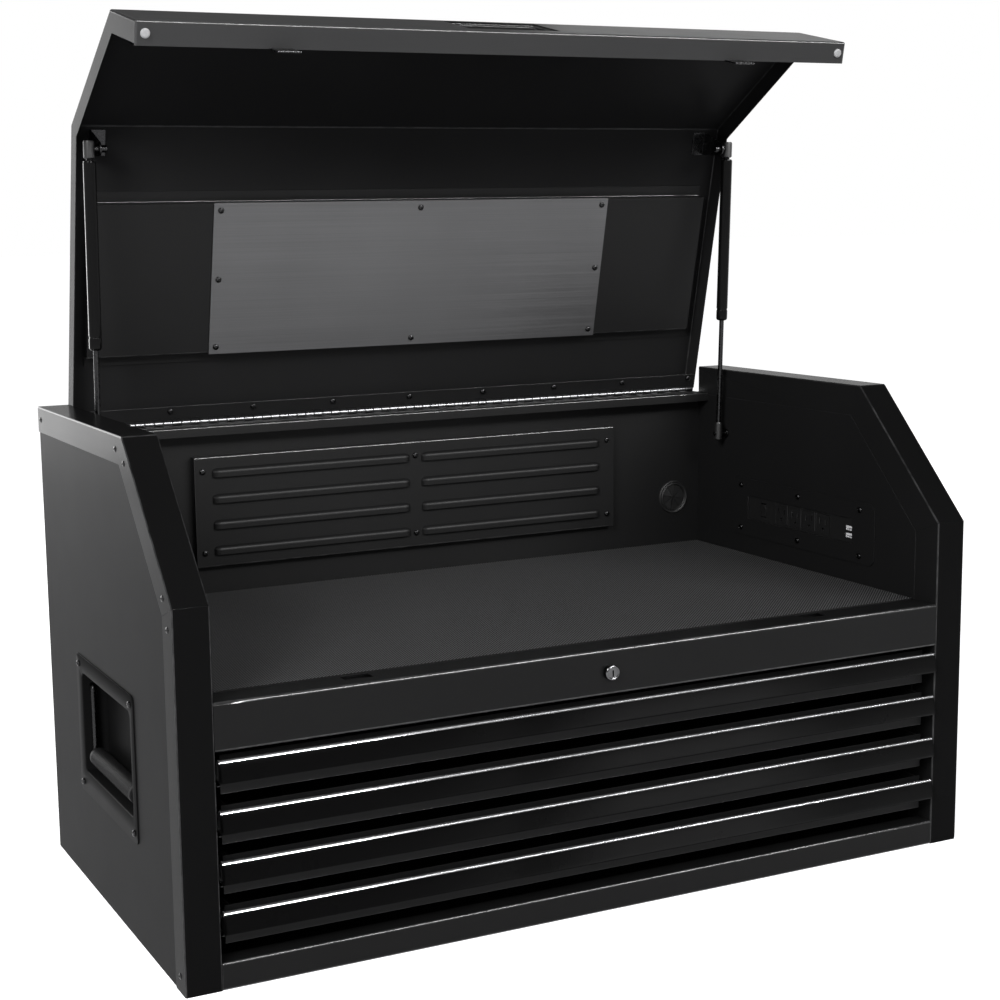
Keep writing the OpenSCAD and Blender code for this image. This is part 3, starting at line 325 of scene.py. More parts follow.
metalFields = ("tone", "rough", "spread", "bump", "stretch")
metals = {  # bare metal, with the direction of its marks
    "brushed_plate": (0.095, 0.42, 0.18, 0.10, (3.0, 1400.0, 1400.0)),
    "bright_steel": (0.62, 0.16, 0.08, 0.02, (300.0, 300.0, 300.0)),
    "zinc_plate": (0.48, 0.34, 0.16, 0.05, (240.0, 240.0, 240.0)),
    "hingeSteel": (0.11, 0.30, 0.16, 0.05, (240.0, 240.0, 240.0)),
    "blackZinc": (0.032, 0.28, 0.20, 0.05, (240.0, 240.0, 240.0)),
    "darkChrome": (0.10, 0.14, 0.10, 0.02, (300.0, 300.0, 300.0)),
}
metalDrift = 0.07  # change of roughness along the marks
brightEdge = {"share": 0.5, "gain": 1.5, "most": 0.8}  # edges are a little brighter than the faces


def bareMetal(name, look):
    material, t = newMaterial(name)
    place = t.add("ShaderNodeTexCoord").outputs["Object"]
    marks = t.add("ShaderNodeGroup", {"Vector": place, "Stretch": look["stretch"]}, node_tree=brushMarks).outputs
    fold = t.add("ShaderNodeAttribute", attribute_name="fold").outputs["Fac"]
    tone, rough, spread = look["tone"], look["rough"], look["spread"]
    plain = t.blend(marks["Tone"], grey(tone * (1 - spread * 2)), grey(tone * (1 + spread)))
    edge = grey(min(brightEdge["most"], tone * brightEdge["gain"]))
    colour = t.blend(t.math("MULTIPLY", fold, brightEdge["share"]), plain, edge)
    gloss = t.ramp(marks["Tone"], *noiseSpan, rough - metalDrift, rough + metalDrift)
    bump = t.add("ShaderNodeBump", {"Height": marks["Height"], "Strength": look["bump"], "Distance": 0.0005})
    shader = t.add("ShaderNodeBsdfPrincipled", {
        "Base Color": colour, "Roughness": gloss, "Normal": bump.outputs[0], "Metallic": 1.0})
    t.add("ShaderNodeOutputMaterial", {"Surface": shader.outputs[0]})
    return material


rubberFields = ("tone", "rough", "grain", "bump", "dust", "specular", "ribs")
rubbers = {  # rubber and moulded plastic
    # the ribs' tone paints their tops paler: partly rubbed wear, partly a painted highlight
    "mat_rubber": (0.004, 0.75, 900.0, 0.3, 0.04, 0.10, {"from": 0.31518, "to": 0.31536, "tone": 0.095}),
    "soft_rubber": (0.008, 0.50, 1200.0, 0.10, 0.03, 0.3),
    "bail_grip": (0.009, 0.50, 1000.0, 0.12, 0.03, 0.06),
    "strip_plastic": (0.008, 0.42, 1500.0, 0.10, 0.04, 0.5),
    "portPlastic": (0.72, 0.45, 900.0, 0.05, 0.02, 0.5),
    "bumperRubber": (0.42, 0.55, 700.0, 0.08, 0.10, 0.4),
}
mouldedDrift = {"dark": 0.8, "light": 1.2, "most": 0.9}
dust = {"tone": 0.12, "clean": -0.02, "dull": 0.5}  # tone of dust; roughness added without dust and by it


def mouldedFinish(name, look):
    material, t = newMaterial(name)
    place = t.add("ShaderNodeTexCoord").outputs["Object"]
    grain = t.noise(place, look["grain"], 3.0)
    dusty = t.add("ShaderNodeGroup", {"Vector": place, "Amount": look["dust"]}, node_tree=settledDust).outputs["Mask"]
    tone = look["tone"]
    plain = t.blend(
        grain, grey(tone * mouldedDrift["dark"]), grey(min(tone * mouldedDrift["light"], mouldedDrift["most"])))
    if "ribs" in look:
        # the tops of the ribs are painted pale: partly rubbed wear, partly a painted highlight that sets them off from
        # the shaded grooves
        ribs = look["ribs"]
        height = t.add("ShaderNodeSeparateXYZ", {0: place}).outputs[2]
        plain = t.blend(t.ramp(height, ribs["from"], ribs["to"], 0.0, 1.0), plain, grey(ribs["tone"]))
    colour = t.blend(dusty, plain, grey(max(dust["tone"], tone)))
    rough = t.math("MULTIPLY_ADD", dusty, dust["dull"], look["rough"] + dust["clean"])
    bump = t.add("ShaderNodeBump", {"Height": grain, "Strength": look["bump"], "Distance": 0.0005})
    shader = t.add("ShaderNodeBsdfPrincipled", {
        "Base Color": colour, "Roughness": rough, "Normal": bump.outputs[0], "Specular IOR Level": look["specular"]})
    t.add("ShaderNodeOutputMaterial", {"Surface": shader.outputs[0]})
    return material


finishes = {}
for table, fields, make in ((coats, coatFields, sprayedCoat), (metals, metalFields, bareMetal),
                            (rubbers, rubberFields, mouldedFinish)):
    for name, values in table.items():
        finishes[name] = make(name, dict(zip(fields, values)))
print("finishes:", len(finishes))

# Meshes: everything below is in millimetres until it is placed

mm = 0.001
hingeLine = Vector((0, 268, 545.7))  # the piano hinge
lidOpen = 77.5  # degrees
opening = Matrix.Rotation(math.radians(-lidOpen), 4, "X")
lidPose = Matrix.Translation(hingeLine) @ opening @ Matrix.Translation(-hingeLine)
sides = (("left", -1), ("right", 1))
pieces = {}


def link(name, mesh):
    piece = bpy.data.objects.new(name, mesh)
    scene.collection.objects.link(piece)
    return piece


def meshOf(bm, scale=mm):
    mesh = bpy.data.meshes.new("mesh")
    bmesh.ops.scale(bm, vec=(scale,) * 3, verts=bm.verts)
    bm.to_mesh(mesh)
    bm.free()
    return mesh


def outward(bm):
    bmesh.ops.recalc_face_normals(bm, faces=bm.faces)


def baked(piece):
    # the evaluated mesh in place of the live modifiers
    graph = bpy.context.evaluated_depsgraph_get()
    mesh = bpy.data.meshes.new_from_object(piece.evaluated_get(graph))
    piece.modifiers.clear()
    piece.data = mesh
    return piece


def thicken(piece, thickness, even=False):
    # a wall behind the piece's faces
    wall = piece.modifiers.new("wall", "SOLIDIFY")
    wall.thickness = thickness * mm
    wall.offset = -1
    wall.use_even_offset = even
    return baked(piece)


def faceReach(loop):
    # width of a face beside one of its edges, measured square to that edge
    face, edge = loop.face, loop.edge
    start, stop = loop.vert.co, loop.link_loop_next.vert.co
    inward = face.normal.cross(stop - start).normalized()
    widths = []
    for share in (0.2, 0.5, 0.8):
        spot = start.lerp(stop, share)
        for other in face.edges:
            a, b = (v.co for v in other.verts)
            da, db = ((p - spot).dot(stop - start) for p in (a, b))
            if other is not edge and da * db <= 0 and abs(da - db) > 1e-12:
                width = a.lerp(b, da / (da - db)) - spot
                widths.append(width.dot(inward))
    return min((w for w in widths if w > 1e-6), default=0.0)


folding = {
    "sheet": 1.2,  # an inside fold is this much tighter than an outside one
    "shortest": 3, "sharpest": 28,  # edges shorter or flatter than this aren't folds
    "reach": 3, "share": 0.45,  # least width beside a fold, and the part of it that the fold may take
    "tightest": 0.3,
    "merge": 2e-6, "flat": 0.5, "edgeAngle": 36,
}


def weighFolds(bm, fold):
    # folds of the sheet get a weight, its cut edges none
    v = folding
    weight = bm.edges.layers.float.new("bevel_weight_edge")
    for line in bm.edges:
        if len(line.link_faces) != 2 or line.calc_length() < v["shortest"] * mm:
            continue
        if line.calc_face_angle(0) < math.radians(v["sharpest"]):
            continue
        reach = min(faceReach(loop) for loop in line.link_loops) / mm
        radius = fold if line.is_convex else fold - v["sheet"]
        if reach > v["reach"] and radius > v["tightest"]:
            line[weight] = min(radius, reach * v["share"]) / fold


def addBevel(piece, name, method, width, segments):
    # its faces take the second material slot
    bevel = piece.modifiers.new(name, "BEVEL")
    bevel.limit_method = method
    bevel.width = width * mm
    bevel.segments = segments
    bevel.material = 1
    return bevel


def rollFolds(piece, fold, edge):
    # rolls the folds, breaks the cut edges, notes the new faces in "fold" and keeps flat faces flat
    bm = bmesh.new()
    bm.from_mesh(piece.data)
    bmesh.ops.remove_doubles(bm, verts=bm.verts, dist=folding["merge"])
    bmesh.ops.dissolve_limit(bm, angle_limit=math.radians(folding["flat"]), verts=bm.verts, edges=bm.edges)
    if fold:
        weighFolds(bm, fold)
    mesh = bpy.data.meshes.new(piece.name)
    bm.to_mesh(mesh)
    bm.free()
    mesh.materials.clear()
    mesh.materials.append(None)
    mesh.materials.append(None)
    piece.data = mesh
    if fold:
        addBevel(piece, "folds", "WEIGHT", fold, 4).use_clamp_overlap = False
    addBevel(piece, "edges", "ANGLE", edge, 2).angle_limit = math.radians(folding["edgeAngle"])
    baked(piece)
    mesh = piece.data
    noted = mesh.attributes.new("fold", "FLOAT", "CORNER")
    for face in mesh.polygons:
        for corner in face.loop_indices:
            noted.data[corner].value = float(face.material_index)
        face.material_index = 0
    mesh.materials.clear()
    smoothOff(piece)
    return piece


def smoothOff(piece, angle=34):
    mesh = piece.data
    mesh.shade_smooth()
    mesh.set_sharp_from_angle(angle=math.radians(angle))
    flat = piece.modifiers.new("flats", "WEIGHTED_NORMAL")
    flat.keep_sharp = True
    baked(piece)


def repaint(piece, name):
    piece.data.materials.clear()
    piece.data.materials.append(finishes[name])


def finish(piece, slot, body, *replaced, own=None):
    # material, body and the CAD nodes that a piece stands for
    repaint(piece, own or slot)
    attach(piece, body)
    if replaced:
        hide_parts(*replaced)
    pieces[piece.name] = piece
    return piece


def camel(node):
    first, *rest = node.split("_")
    return first + "".join(word.capitalize() for word in rest)


def box(bm, low, high):
    made = bmesh.ops.create_cube(bm, size=1)["verts"]
    size = Vector(high) - Vector(low)
    bmesh.ops.scale(bm, vec=size, verts=made)
    bmesh.ops.translate(bm, vec=(Vector(low) + Vector(high)) / 2, verts=made)
    return made


def lathe(bm, outline, steps=32, axis="Z", at=(0, 0, 0)):
    # turns [radius, height] points round an axis; ends on the axis are closed
    rings = []
    for r, h in outline:
        if r < 1e-6:
            rings.append([bm.verts.new((0, 0, h))])
        else:
            rings.append([bm.verts.new((r * math.cos(a), r * math.sin(a), h))
                          for a in (2 * math.pi * k / steps for k in range(steps))])
    for low, high in zip(rings, rings[1:]):
        for k in range(steps):
            n = (k + 1) % steps
            if len(low) == 1:
                bm.faces.new((low[0], high[n], high[k]))
            elif len(high) == 1:
                bm.faces.new((low[k], low[n], high[0]))
            else:
                bm.faces.new((low[k], low[n], high[n], high[k]))
    made = [v for ring in rings for v in ring]
    quarter = math.pi / 2
    turn = {"X": Matrix.Rotation(quarter, 4, "Y"), "Y": Matrix.Rotation(-quarter, 4, "X"), "Z": Matrix()}[axis]
    bmesh.ops.transform(bm, matrix=Matrix.Translation(at) @ turn, verts=made)
    return made


def moved(profile, out, along):
    return [(r + out, h + along) for r, h in profile]


def arc(step, stop=90):
    # angles from 0 in even steps, given in degrees and returned in radians
    return [math.radians(d) for d in range(0, stop + 1, step)]


def extruded(bm, outline, low, high, axis="X"):
    # a closed outline of two coordinates, swept from low to high along an axis
    def at(p, d):
        return {"X": (d, p[0], p[1]), "Y": (p[0], d, p[1]), "Z": (p[0], p[1], d)}[axis]
    ends = [[bm.verts.new(at(p, d)) for p in outline] for d in (low, high)]
    count = len(outline)
    for k in range(count):
        n = (k + 1) % count
        bm.faces.new((ends[0][k], ends[0][n], ends[1][n], ends[1][k]))
    bm.faces.new(ends[0][::-1])
    bm.faces.new(ends[1])
    return ends[0] + ends[1]


def roundedLoop(width, height, radius, steps=5):
    # points of a rectangle with round corners, about the middle
    loop = []
    for k, (sx, sy) in enumerate(((1, 1), (-1, 1), (-1, -1), (1, -1))):
        for s in range(steps + 1):
            a = math.pi / 2 * (k + s / steps)
            x, y = sx * (width / 2 - radius), sy * (height / 2 - radius)
            loop.append((x + radius * math.cos(a), y + radius * math.sin(a)))
    return loop


def closeUp(bm, merge=1e-4):
    bmesh.ops.remove_doubles(bm, verts=bm.verts, dist=merge)
    outward(bm)


# Geometry node trees

def newTree(name, inputs):
    tree = bpy.data.node_groups.new(name, "GeometryNodeTree")
    tree.interface.new_socket("Geometry", in_out="INPUT", socket_type="NodeSocketGeometry")
    for label, kind in inputs.items():
        tree.interface.new_socket(label, in_out="INPUT", socket_type="NodeSocket" + kind)
    tree.interface.new_socket("Geometry", in_out="OUTPUT", socket_type="NodeSocketGeometry")
    t = Tree(tree)
    return tree, t, t.add("NodeGroupInput").outputs


def endTree(t, geometry, finishSocket):
    real = t.add("GeometryNodeRealizeInstances", {"Geometry": geometry})
    painted = t.add("GeometryNodeSetMaterial", {"Geometry": real.outputs[0], "Material": finishSocket})
    t.add("NodeGroupOutput", {"Geometry": painted.outputs[0]})


def endJoined(t, geometry, given):
    # together with the piece's own mesh
    both = t.add("GeometryNodeJoinGeometry", {"Geometry": geometry})
    t.join(given["Geometry"], both.inputs[0])
    endTree(t, both.outputs[0], given["Finish"])


def runTree(piece, tree, values):
    modifier = piece.modifiers.new(tree.name, "NODES")
    modifier.node_group = tree
    for socket in tree.interface.items_tree:
        if socket.in_out == "INPUT" and socket.name in values:
            modifier[socket.identifier] = values[socket.name]
    return baked(piece)


def makeScatterTree():
    # one template on each point, its Z along the point's "axis", turned by a random angle
    tree, t, given = newTree("fasteners", {"Template": "Object", "Turn": "Float", "Seed": "Int", "Finish": "Material"})
    template = t.add("GeometryNodeObjectInfo", {"Object": given["Template"]})
    axis = t.add("GeometryNodeInputNamedAttribute", {"Name": "axis"}, data_type="FLOAT_VECTOR")
    aim = t.add("FunctionNodeAlignRotationToVector", {"Vector": axis.outputs[0]}, axis="Z")
    placed = t.add("GeometryNodeInstanceOnPoints", {
        "Points": given["Geometry"], "Instance": template.outputs["Geometry"], "Rotation": aim.outputs[0]})
    spin = t.add("FunctionNodeRandomValue", {"Seed": given["Seed"]}, data_type="FLOAT")
    t.join(given["Turn"], spin.inputs[3])
    angles = t.add("ShaderNodeCombineXYZ", {"Z": spin.outputs[1]})
    turned = t.add("GeometryNodeRotateInstances", {"Instances": placed.outputs[0], "Rotation": angles.outputs[0]})
    endTree(t, turned.outputs[0], given["Finish"])
    return tree


def makeRowTree():
    # a row of one template, joined to the piece's own mesh
    tree, t, given = newTree("row", {
        "Template": "Object", "Count": "Int", "Start": "Vector", "Step": "Vector", "Finish": "Material"})
    template = t.add("GeometryNodeObjectInfo", {"Object": given["Template"]})
    line = t.add("GeometryNodeMeshLine", {
        "Count": given["Count"], "Start Location": given["Start"], "Offset": given["Step"]})
    placed = t.add("GeometryNodeInstanceOnPoints", {
        "Points": line.outputs[0], "Instance": template.outputs["Geometry"]})
    endJoined(t, placed.outputs[0], given)
    return tree


def makeRibTree():
    # slanting ribs over a rectangle, cut off at its sides, joined to the piece's own mesh
    tree, t, given = newTree("matRibs", {
        "Low": "Vector", "High": "Vector", "Pitch": "Float", "Width": "Float", "Rise": "Float", "Finish": "Material"})
    low = t.add("ShaderNodeSeparateXYZ", {0: given["Low"]}).outputs
    high = t.add("ShaderNodeSeparateXYZ", {0: given["High"]}).outputs
    first = t.math("SUBTRACT", low[0], high[1])
    span = t.math("SUBTRACT", t.math("SUBTRACT", high[0], low[1]), first)
    count = t.math("FLOOR", t.math("DIVIDE", span, given["Pitch"]))
    index = t.add("GeometryNodeInputIndex").outputs[0]
    shift = t.math("MULTIPLY_ADD", t.math("ADD", index, 0.5), given["Pitch"], first)
    start = t.math("MAXIMUM", low[1], t.math("SUBTRACT", low[0], shift))
    stop = t.math("MINIMUM", high[1], t.math("SUBTRACT", high[0], shift))
    place = t.add("ShaderNodeCombineXYZ", {0: t.math("ADD", start, shift), 1: start, 2: high[2]})
    run = t.math("SUBTRACT", stop, start)
    reach = t.add("ShaderNodeCombineXYZ", {0: run, 1: run})
    dots = t.add("GeometryNodePoints", {"Count": count})
    bare = t.add("GeometryNodePointsToVertices", {0: dots.outputs[0]})
    spread = t.add("GeometryNodeSetPosition", {"Geometry": bare.outputs[0], "Position": place.outputs[0]})
    lines = t.add("GeometryNodeExtrudeMesh", {"Mesh": spread.outputs[0], "Offset": reach.outputs[0]}, mode="VERTICES")
    curves = t.add("GeometryNodeMeshToCurve", {"Mesh": lines.outputs[0]})
    level = t.add("GeometryNodeSetCurveNormal", {"Curve": curves.outputs[0]}, mode="Z_UP")
    section = t.add("GeometryNodeCurvePrimitiveCircle", {"Resolution": 6, "Radius": 1.0})
    shape = t.add("GeometryNodeTransform", {"Geometry": section.outputs[0]})
    half = t.math("MULTIPLY", given["Width"], 0.5)
    scale = t.add("ShaderNodeCombineXYZ", {0: half, 1: given["Rise"], 2: 1.0})
    t.join(scale.outputs[0], shape.inputs["Scale"])
    ribs = t.add("GeometryNodeCurveToMesh", {
        "Curve": level.outputs[0], "Profile Curve": shape.outputs[0], "Fill Caps": True})
    endJoined(t, ribs.outputs[0], given)
    return tree


def makePullTree():
    # the drawer pull's sheet: a bulging front that runs down to a turned foot and a short back
    tree, t, given = newTree("drawerPull", {
        "Half Width": "Float", "Height": "Float", "Bulge": "Float", "Shoulder": "Float", "Lean": "Float",
        "Depth": "Float", "Back": "Float", "Rows": "Int", "Finish": "Material"})
    steps = given["Rows"]
    rows = t.math("ADD", steps, 6.0)
    sheet = t.add("GeometryNodeMeshGrid", {"Size X": 1.0, "Size Y": 1.0, "Vertices X": 2, "Vertices Y": rows})
    place = t.add("ShaderNodeSeparateXYZ", {0: t.add("GeometryNodeInputPosition").outputs[0]}).outputs
    row = t.math("MULTIPLY", t.math("ADD", place[1], 0.5), t.math("SUBTRACT", rows, 1.0))
    even = t.math("DIVIDE", row, steps, clamp=True)
    front = t.math("MULTIPLY_ADD", t.math("COSINE", t.math("MULTIPLY", even, math.pi)), -0.5, 0.5)
    past = t.math("SUBTRACT", row, steps)
    foot = t.math("DIVIDE", past, 3.0, clamp=True)
    back = t.math("DIVIDE", t.math("SUBTRACT", past, 3.0), 2.0, clamp=True)
    wave = t.math("MAXIMUM", t.math("SINE", t.math("MULTIPLY", front, math.pi)), 0.0)
    wave = t.math("POWER", wave, given["Shoulder"])
    lean = t.math("MULTIPLY", front, given["Lean"])
    out = t.math("MULTIPLY_ADD", wave, t.math("MULTIPLY", given["Bulge"], -1.0), lean)
    y = t.math("MULTIPLY_ADD", foot, given["Depth"], out)
    drop = t.math("MULTIPLY", front, t.math("MULTIPLY", given["Height"], -1.0))
    z = t.math("MULTIPLY_ADD", back, given["Back"], drop)
    x = t.math("MULTIPLY", place[0], t.math("MULTIPLY", given["Half Width"], 2.0))
    bent = t.add("GeometryNodeSetPosition", {
        "Geometry": sheet.outputs[0], "Position": t.add("ShaderNodeCombineXYZ", {0: x, 1: y, 2: z}).outputs[0]})
    endJoined(t, bent.outputs[0], given)
    return tree


scatterTree = makeScatterTree()
rowTree = makeRowTree()
ribTree = makeRibTree()
pullTree = makePullTree()
print("trees ready")

# Sheet metal pieces that keep their CAD form: folds get a rolled radius, cut edges a light one

formed = {  # CAD node: radius of the folds, radius of the cut edges
    "base_pan": (1.2, 0.3), "bottom_rail": (2.2, 0.3), "front_rail": (3.0, 0.3),
    "left_side_panel": (1.2, 0.3), "right_side_panel": (1.2, 0.3),
    "left_inner_panel": (1.0, 0.3), "right_inner_panel": (1.0, 0.3),
    "left_trim": (1.6, 0.4), "right_trim": (1.6, 0.4), "back_panel": (1.6, 0.3), "till_floor": (1.6, 0.3),
    "power_strip_bezel": (0.5, 0.4), "power_strip_body": (0.8, 0.4),
    "cabinet_rails": (0.6, 0.3), "strut_studs": (0.6, 0.4),
    "lid_shell": (2.6, 0.4), "lid_stiffener": (2.2, 0.4), "lid_plate": (0, 0.4),
    "lid_bumpers": (0.8, 0.4), "lid_grip_cup": (2.6, 0.3), "lid_strut_brackets": (0.8, 0.4),
    "lock_cylinder": (0.5, 0.3), "latch_bar": (0.5, 0.3), "power_switch": (0.9, 0.5),
}
ownFinish = {
    "lid_bumpers": "bumperRubber", "strut_studs": "blackZinc", "latch_bar": "blackZinc", "lock_cylinder": "darkChrome",
    "lid_strut_brackets": "blackZinc", "front_rail": "railCoat", "bottom_rail": "railCoat", "lid_shell": "lidCoat",
}
for k in range(1, 5):
    formed[f"drawer_{k}_tray"] = (1.2, 0.3)
    for member in ("rails", "slides"):
        formed[f"drawer_{k}_{member}"] = (0.6, 0.3)
        ownFinish[f"drawer_{k}_{member}"] = "blackZinc"

for node, (fold, edge) in formed.items():
    piece = rollFolds(link(camel(node), nodes[node].data.copy()), fold, edge)
    finish(piece, slotOf[node], bodyOf[node], node, own=ownFinish.get(node))


lidLip = {"behind": -235, "below": 322, "front": -0.95}  # its return's limits and its front's direction, lid closed


def coatLidLip():
    # the lid's front and its return are paler than the rest
    shell = pieces["lidShell"].data
    shell.materials.append(finishes["lipCoat"])
    closed = lidPose.inverted()
    turn = closed.to_3x3()
    for face in shell.polygons:
        spot = closed @ (face.center / mm)
        inReturn = spot.y < lidLip["behind"] and spot.z < lidLip["below"]
        if inReturn or (turn @ face.normal).y < lidLip["front"]:
            face.material_index = 1


def coatTrimLaps():
    # the laps inside the well are sprayed with the inner panels
    for side, s in sides:
        trim = pieces[side + "Trim"].data
        trim.materials.append(finishes["inner_coat"])
        for face in trim.polygons:
            if face.normal.x * s < -0.9:
                face.material_index = 1


coatLidLip()
coatTrimLaps()
print("formed pieces:", len(formed))

# Outlets and charging ports share one CAD node

ports = {"split": -80.0, "fold": 0.6, "edge": 0.35}  # everything in front of the split is a charging port


def addSockets():
    for name, own, front in (("powerOutlets", None, False), ("chargingPorts", "portPlastic", True)):
        bm = bmesh.new()
        bm.from_mesh(nodes["power_sockets"].data)
        far = [f for f in bm.faces if (f.calc_center_median().y < ports["split"] * mm) != front]
        bmesh.ops.delete(bm, geom=far, context="FACES")
        mesh = bpy.data.meshes.new(name)
        bm.to_mesh(mesh)
        bm.free()
        piece = rollFolds(link(name, mesh), ports["fold"], ports["edge"])
        finish(piece, "strip_plastic", "chest", *([] if front else ["power_sockets"]), own=own)


addSockets()

# Screws and rivets

screwHead = {
    "radius": 4.0, "height": 2.4, "steps": 24, "plug": 1.0,
    "crown": ((1.0, 0.0), (1.0, 0.35), (0.93, 0.62), (0.8, 0.85), (0.66, 0.96)),  # shares of radius and height
    "cross": 2.3, "slot": 0.75, "sink": 1.3, "taper": 0.75,
}
shank = {"radius": 2.0, "point": 0.5, "steps": 16, "louvre": 16.0, "panel": 8.0, "lid": 6.0}  # lengths by place
rivetHead = {"radius": 3.6, "height": 1.3, "hole": 1.1, "steps": 24, "plug": 0.6, "pin": 0.8, "skin": 520.5}


def screwTemplate():
    # pan head with a cross recess
    bm = bmesh.new()
    v = screwHead
    r, h, steps = v["radius"], v["height"], v["steps"]
    lathe(bm, [(r * 0.5, -v["plug"])] + [(r * a, h * b) for a, b in v["crown"]], steps)
    bm.verts.ensure_lookup_table()
    rim = bm.verts[-steps:]
    c, s = v["cross"], v["slot"]
    corners, arm = [], [(c, -s), (c, s), (s, s)]
    for _ in range(4):
        corners += arm
        arm = [(-y, x) for x, y in arm]
    top = [bm.verts.new((x, y, h)) for x, y in corners]
    low = [bm.verts.new((x * v["taper"], y * v["taper"], h - v["sink"])) for x, y in corners]
    count = len(corners)
    rimEdges = [bm.edges.get((rim[k], rim[(k + 1) % steps])) for k in range(steps)]
    topEdges = [bm.edges.new((top[k], top[(k + 1) % count])) for k in range(count)]
    bmesh.ops.bridge_loops(bm, edges=rimEdges + topEdges)
    for k in range(count):
        n = (k + 1) % count
        bm.faces.new((top[k], top[n], low[n], low[k]))
    bm.faces.new(low)
    outward(bm)
    return link("screwTemplate", meshOf(bm))


def rivetTemplate():
    # blind rivet: a low dome with the hole of its pulled pin
    bm = bmesh.new()
    v = rivetHead
    r, h, hole, deep = v["radius"], v["height"], v["hole"], v["height"] - v["pin"]
    dome = [(r * math.cos(a), h * math.sin(a)) for a in arc(12, 72)]
    lathe(bm, [(r * 0.5, -v["plug"]), (r, -0.02)] + dome + [(hole, h), (hole * 0.9, deep), (0, deep)], v["steps"])
    outward(bm)
    return link("rivetTemplate", meshOf(bm))


def pointsWithAxes(name, places):
    # places is a list of (point, axis) in millimetres
    mesh = bpy.data.meshes.new(name)
    mesh.from_pydata([Vector(p) * mm for p, _ in places], [], [])
    axis = mesh.attributes.new("axis", "FLOAT_VECTOR", "POINT")
    for k, (_, way) in enumerate(places):
        axis.data[k].vector = way
    return link(name, mesh)


def addShanks(piece, places, lengths):
    bm = bmesh.new()
    bm.from_mesh(piece.data)
    r, point = shank["radius"], shank["point"]
    for (spot, way), length in zip(places, lengths):
        outline = [(0, -length), (r - point, -length), (r, point - length), (r, 0), (0, 0)]
        made = lathe(bm, outline, shank["steps"])
        turn = Vector(way).to_track_quat("Z", "Y").to_matrix().to_4x4()
        bmesh.ops.transform(bm, matrix=Matrix.Scale(mm, 4) @ Matrix.Translation(spot) @ turn, verts=made)
    bm.to_mesh(piece.data)
    bm.free()


screwGroups = {  # the middle of a group and the steps from there
    "louvre": ((0, 251.8, 426), (310, 0, 54.5)),
    "strip": ((476.3, 16.7, 383.5), (0, 133, 31)),
    "handle": ((520.8, 9.5, 204), (0, 107.5, 74.5)),
    "plate": ((0, 80, 558.3), (283, 90.5, 0)),
    "leaf": ((0, 252.5, 548.8), (115.25, 0, 0)),
}
rivetSide = [(-249, 19), (-249, 393.5), (-236.4, 424.4), (-113.8, 550.1), (-83.3, 563), (252, 563)]


def screwSpots(group, xs=(0,), ys=(0,), zs=(0,)):
    (x, y, z), (dx, dy, dz) = screwGroups[group]
    return [(x + i * dx, y + j * dy, z + k * dz) for i in xs for j in ys for k in zs]


ends, three = (-1, 1), (-1, 0, 1)
louvreScrewPlaces = [(p, (0, -1, 0)) for p in screwSpots("louvre", xs=three, zs=ends)]
panelScrewPlaces = louvreScrewPlaces + [(p, (-1, 0, 0)) for p in screwSpots("strip", ys=three, zs=ends)]
panelScrewPlaces += [((s * x, y, z), (s, 0, 0)) for s in ends for x, y, z in screwSpots("handle", ys=ends, zs=ends)]
plateScrews = screwSpots("plate", xs=three, ys=three)
plateScrews.pop(4)  # none in the middle
lidTurn = lidPose.to_3x3()
lidScrewPlaces = [(lidPose @ Vector(p), lidTurn @ Vector((0, 0, -1)))
                  for p in plateScrews + screwSpots("leaf", xs=range(-4, 5))]
rivetPlaces = [((s * rivetHead["skin"], y, z), (s, 0, 0)) for s in ends for y, z in rivetSide]


def addFasteners():
    templates = {"screw": screwTemplate(), "rivet": rivetTemplate()}
    long, short = len(louvreScrewPlaces), len(panelScrewPlaces) - len(louvreScrewPlaces)
    behind = [shank["louvre"]] * long + [shank["panel"]] * short
    rows = (("panelScrews", panelScrewPlaces, "screw", 360, 3, "chest", "panel_screws", behind),
            ("lidScrews", lidScrewPlaces, "screw", 360, 8, "lid", "lid_screws", [shank["lid"]] * len(lidScrewPlaces)),
            ("trimRivets", rivetPlaces, "rivet", 0, 1, "chest", "trim_rivets", []))
    for name, places, kind, turn, seed, body, node, lengths in rows:
        piece = pointsWithAxes(name, places)
        runTree(piece, scatterTree, {
            "Template": templates[kind], "Turn": math.radians(turn), "Seed": seed, "Finish": finishes["blackZinc"]})
        addShanks(piece, places, lengths)
        smoothOff(piece, 40)
        finish(piece, "zinc_plate", body, node, own="blackZinc")
    for template in templates.values():
        bpy.data.objects.remove(template)


addFasteners()
print("fasteners:", len(panelScrewPlaces) + len(lidScrewPlaces) + len(rivetPlaces))

# Louvred panel on the back wall

louvres = {
    "face": 251.8, "wall": 263.8, "half": 321.0, "low": 352.0, "high": 500.0, "sheet": 1.2,
    "rows": 4, "pitch": 34.7, "bar": 9.0, "length": 288.0, "slot": 5.0, "slotDrop": 4.2,
    "hood": 5.0, "rise": 6.5, "lip": 5.2, "end": 9.0, "fold": 2.0, "edge": 0.3,
    "brow": ((0.0, 0.0), (0.12, 0.5), (0.5, 1.5), (0.85, 3.0), (1.0, 5.0)),  # share of the hood, drop from its top
    "stations": (0, 0.12, 0.35, 0.7, 1.0), "endRise": 0.35, "proud": 0.1, "hoodSheet": 1.0,
}


def louvreSpots():
    v = louvres
    middle = (v["low"] + v["high"]) / 2
    return [(c * (v["bar"] + v["length"] / 2), middle + (r - (v["rows"] - 1) / 2) * v["pitch"])
            for r in range(v["rows"]) for c in (-1, 1)]


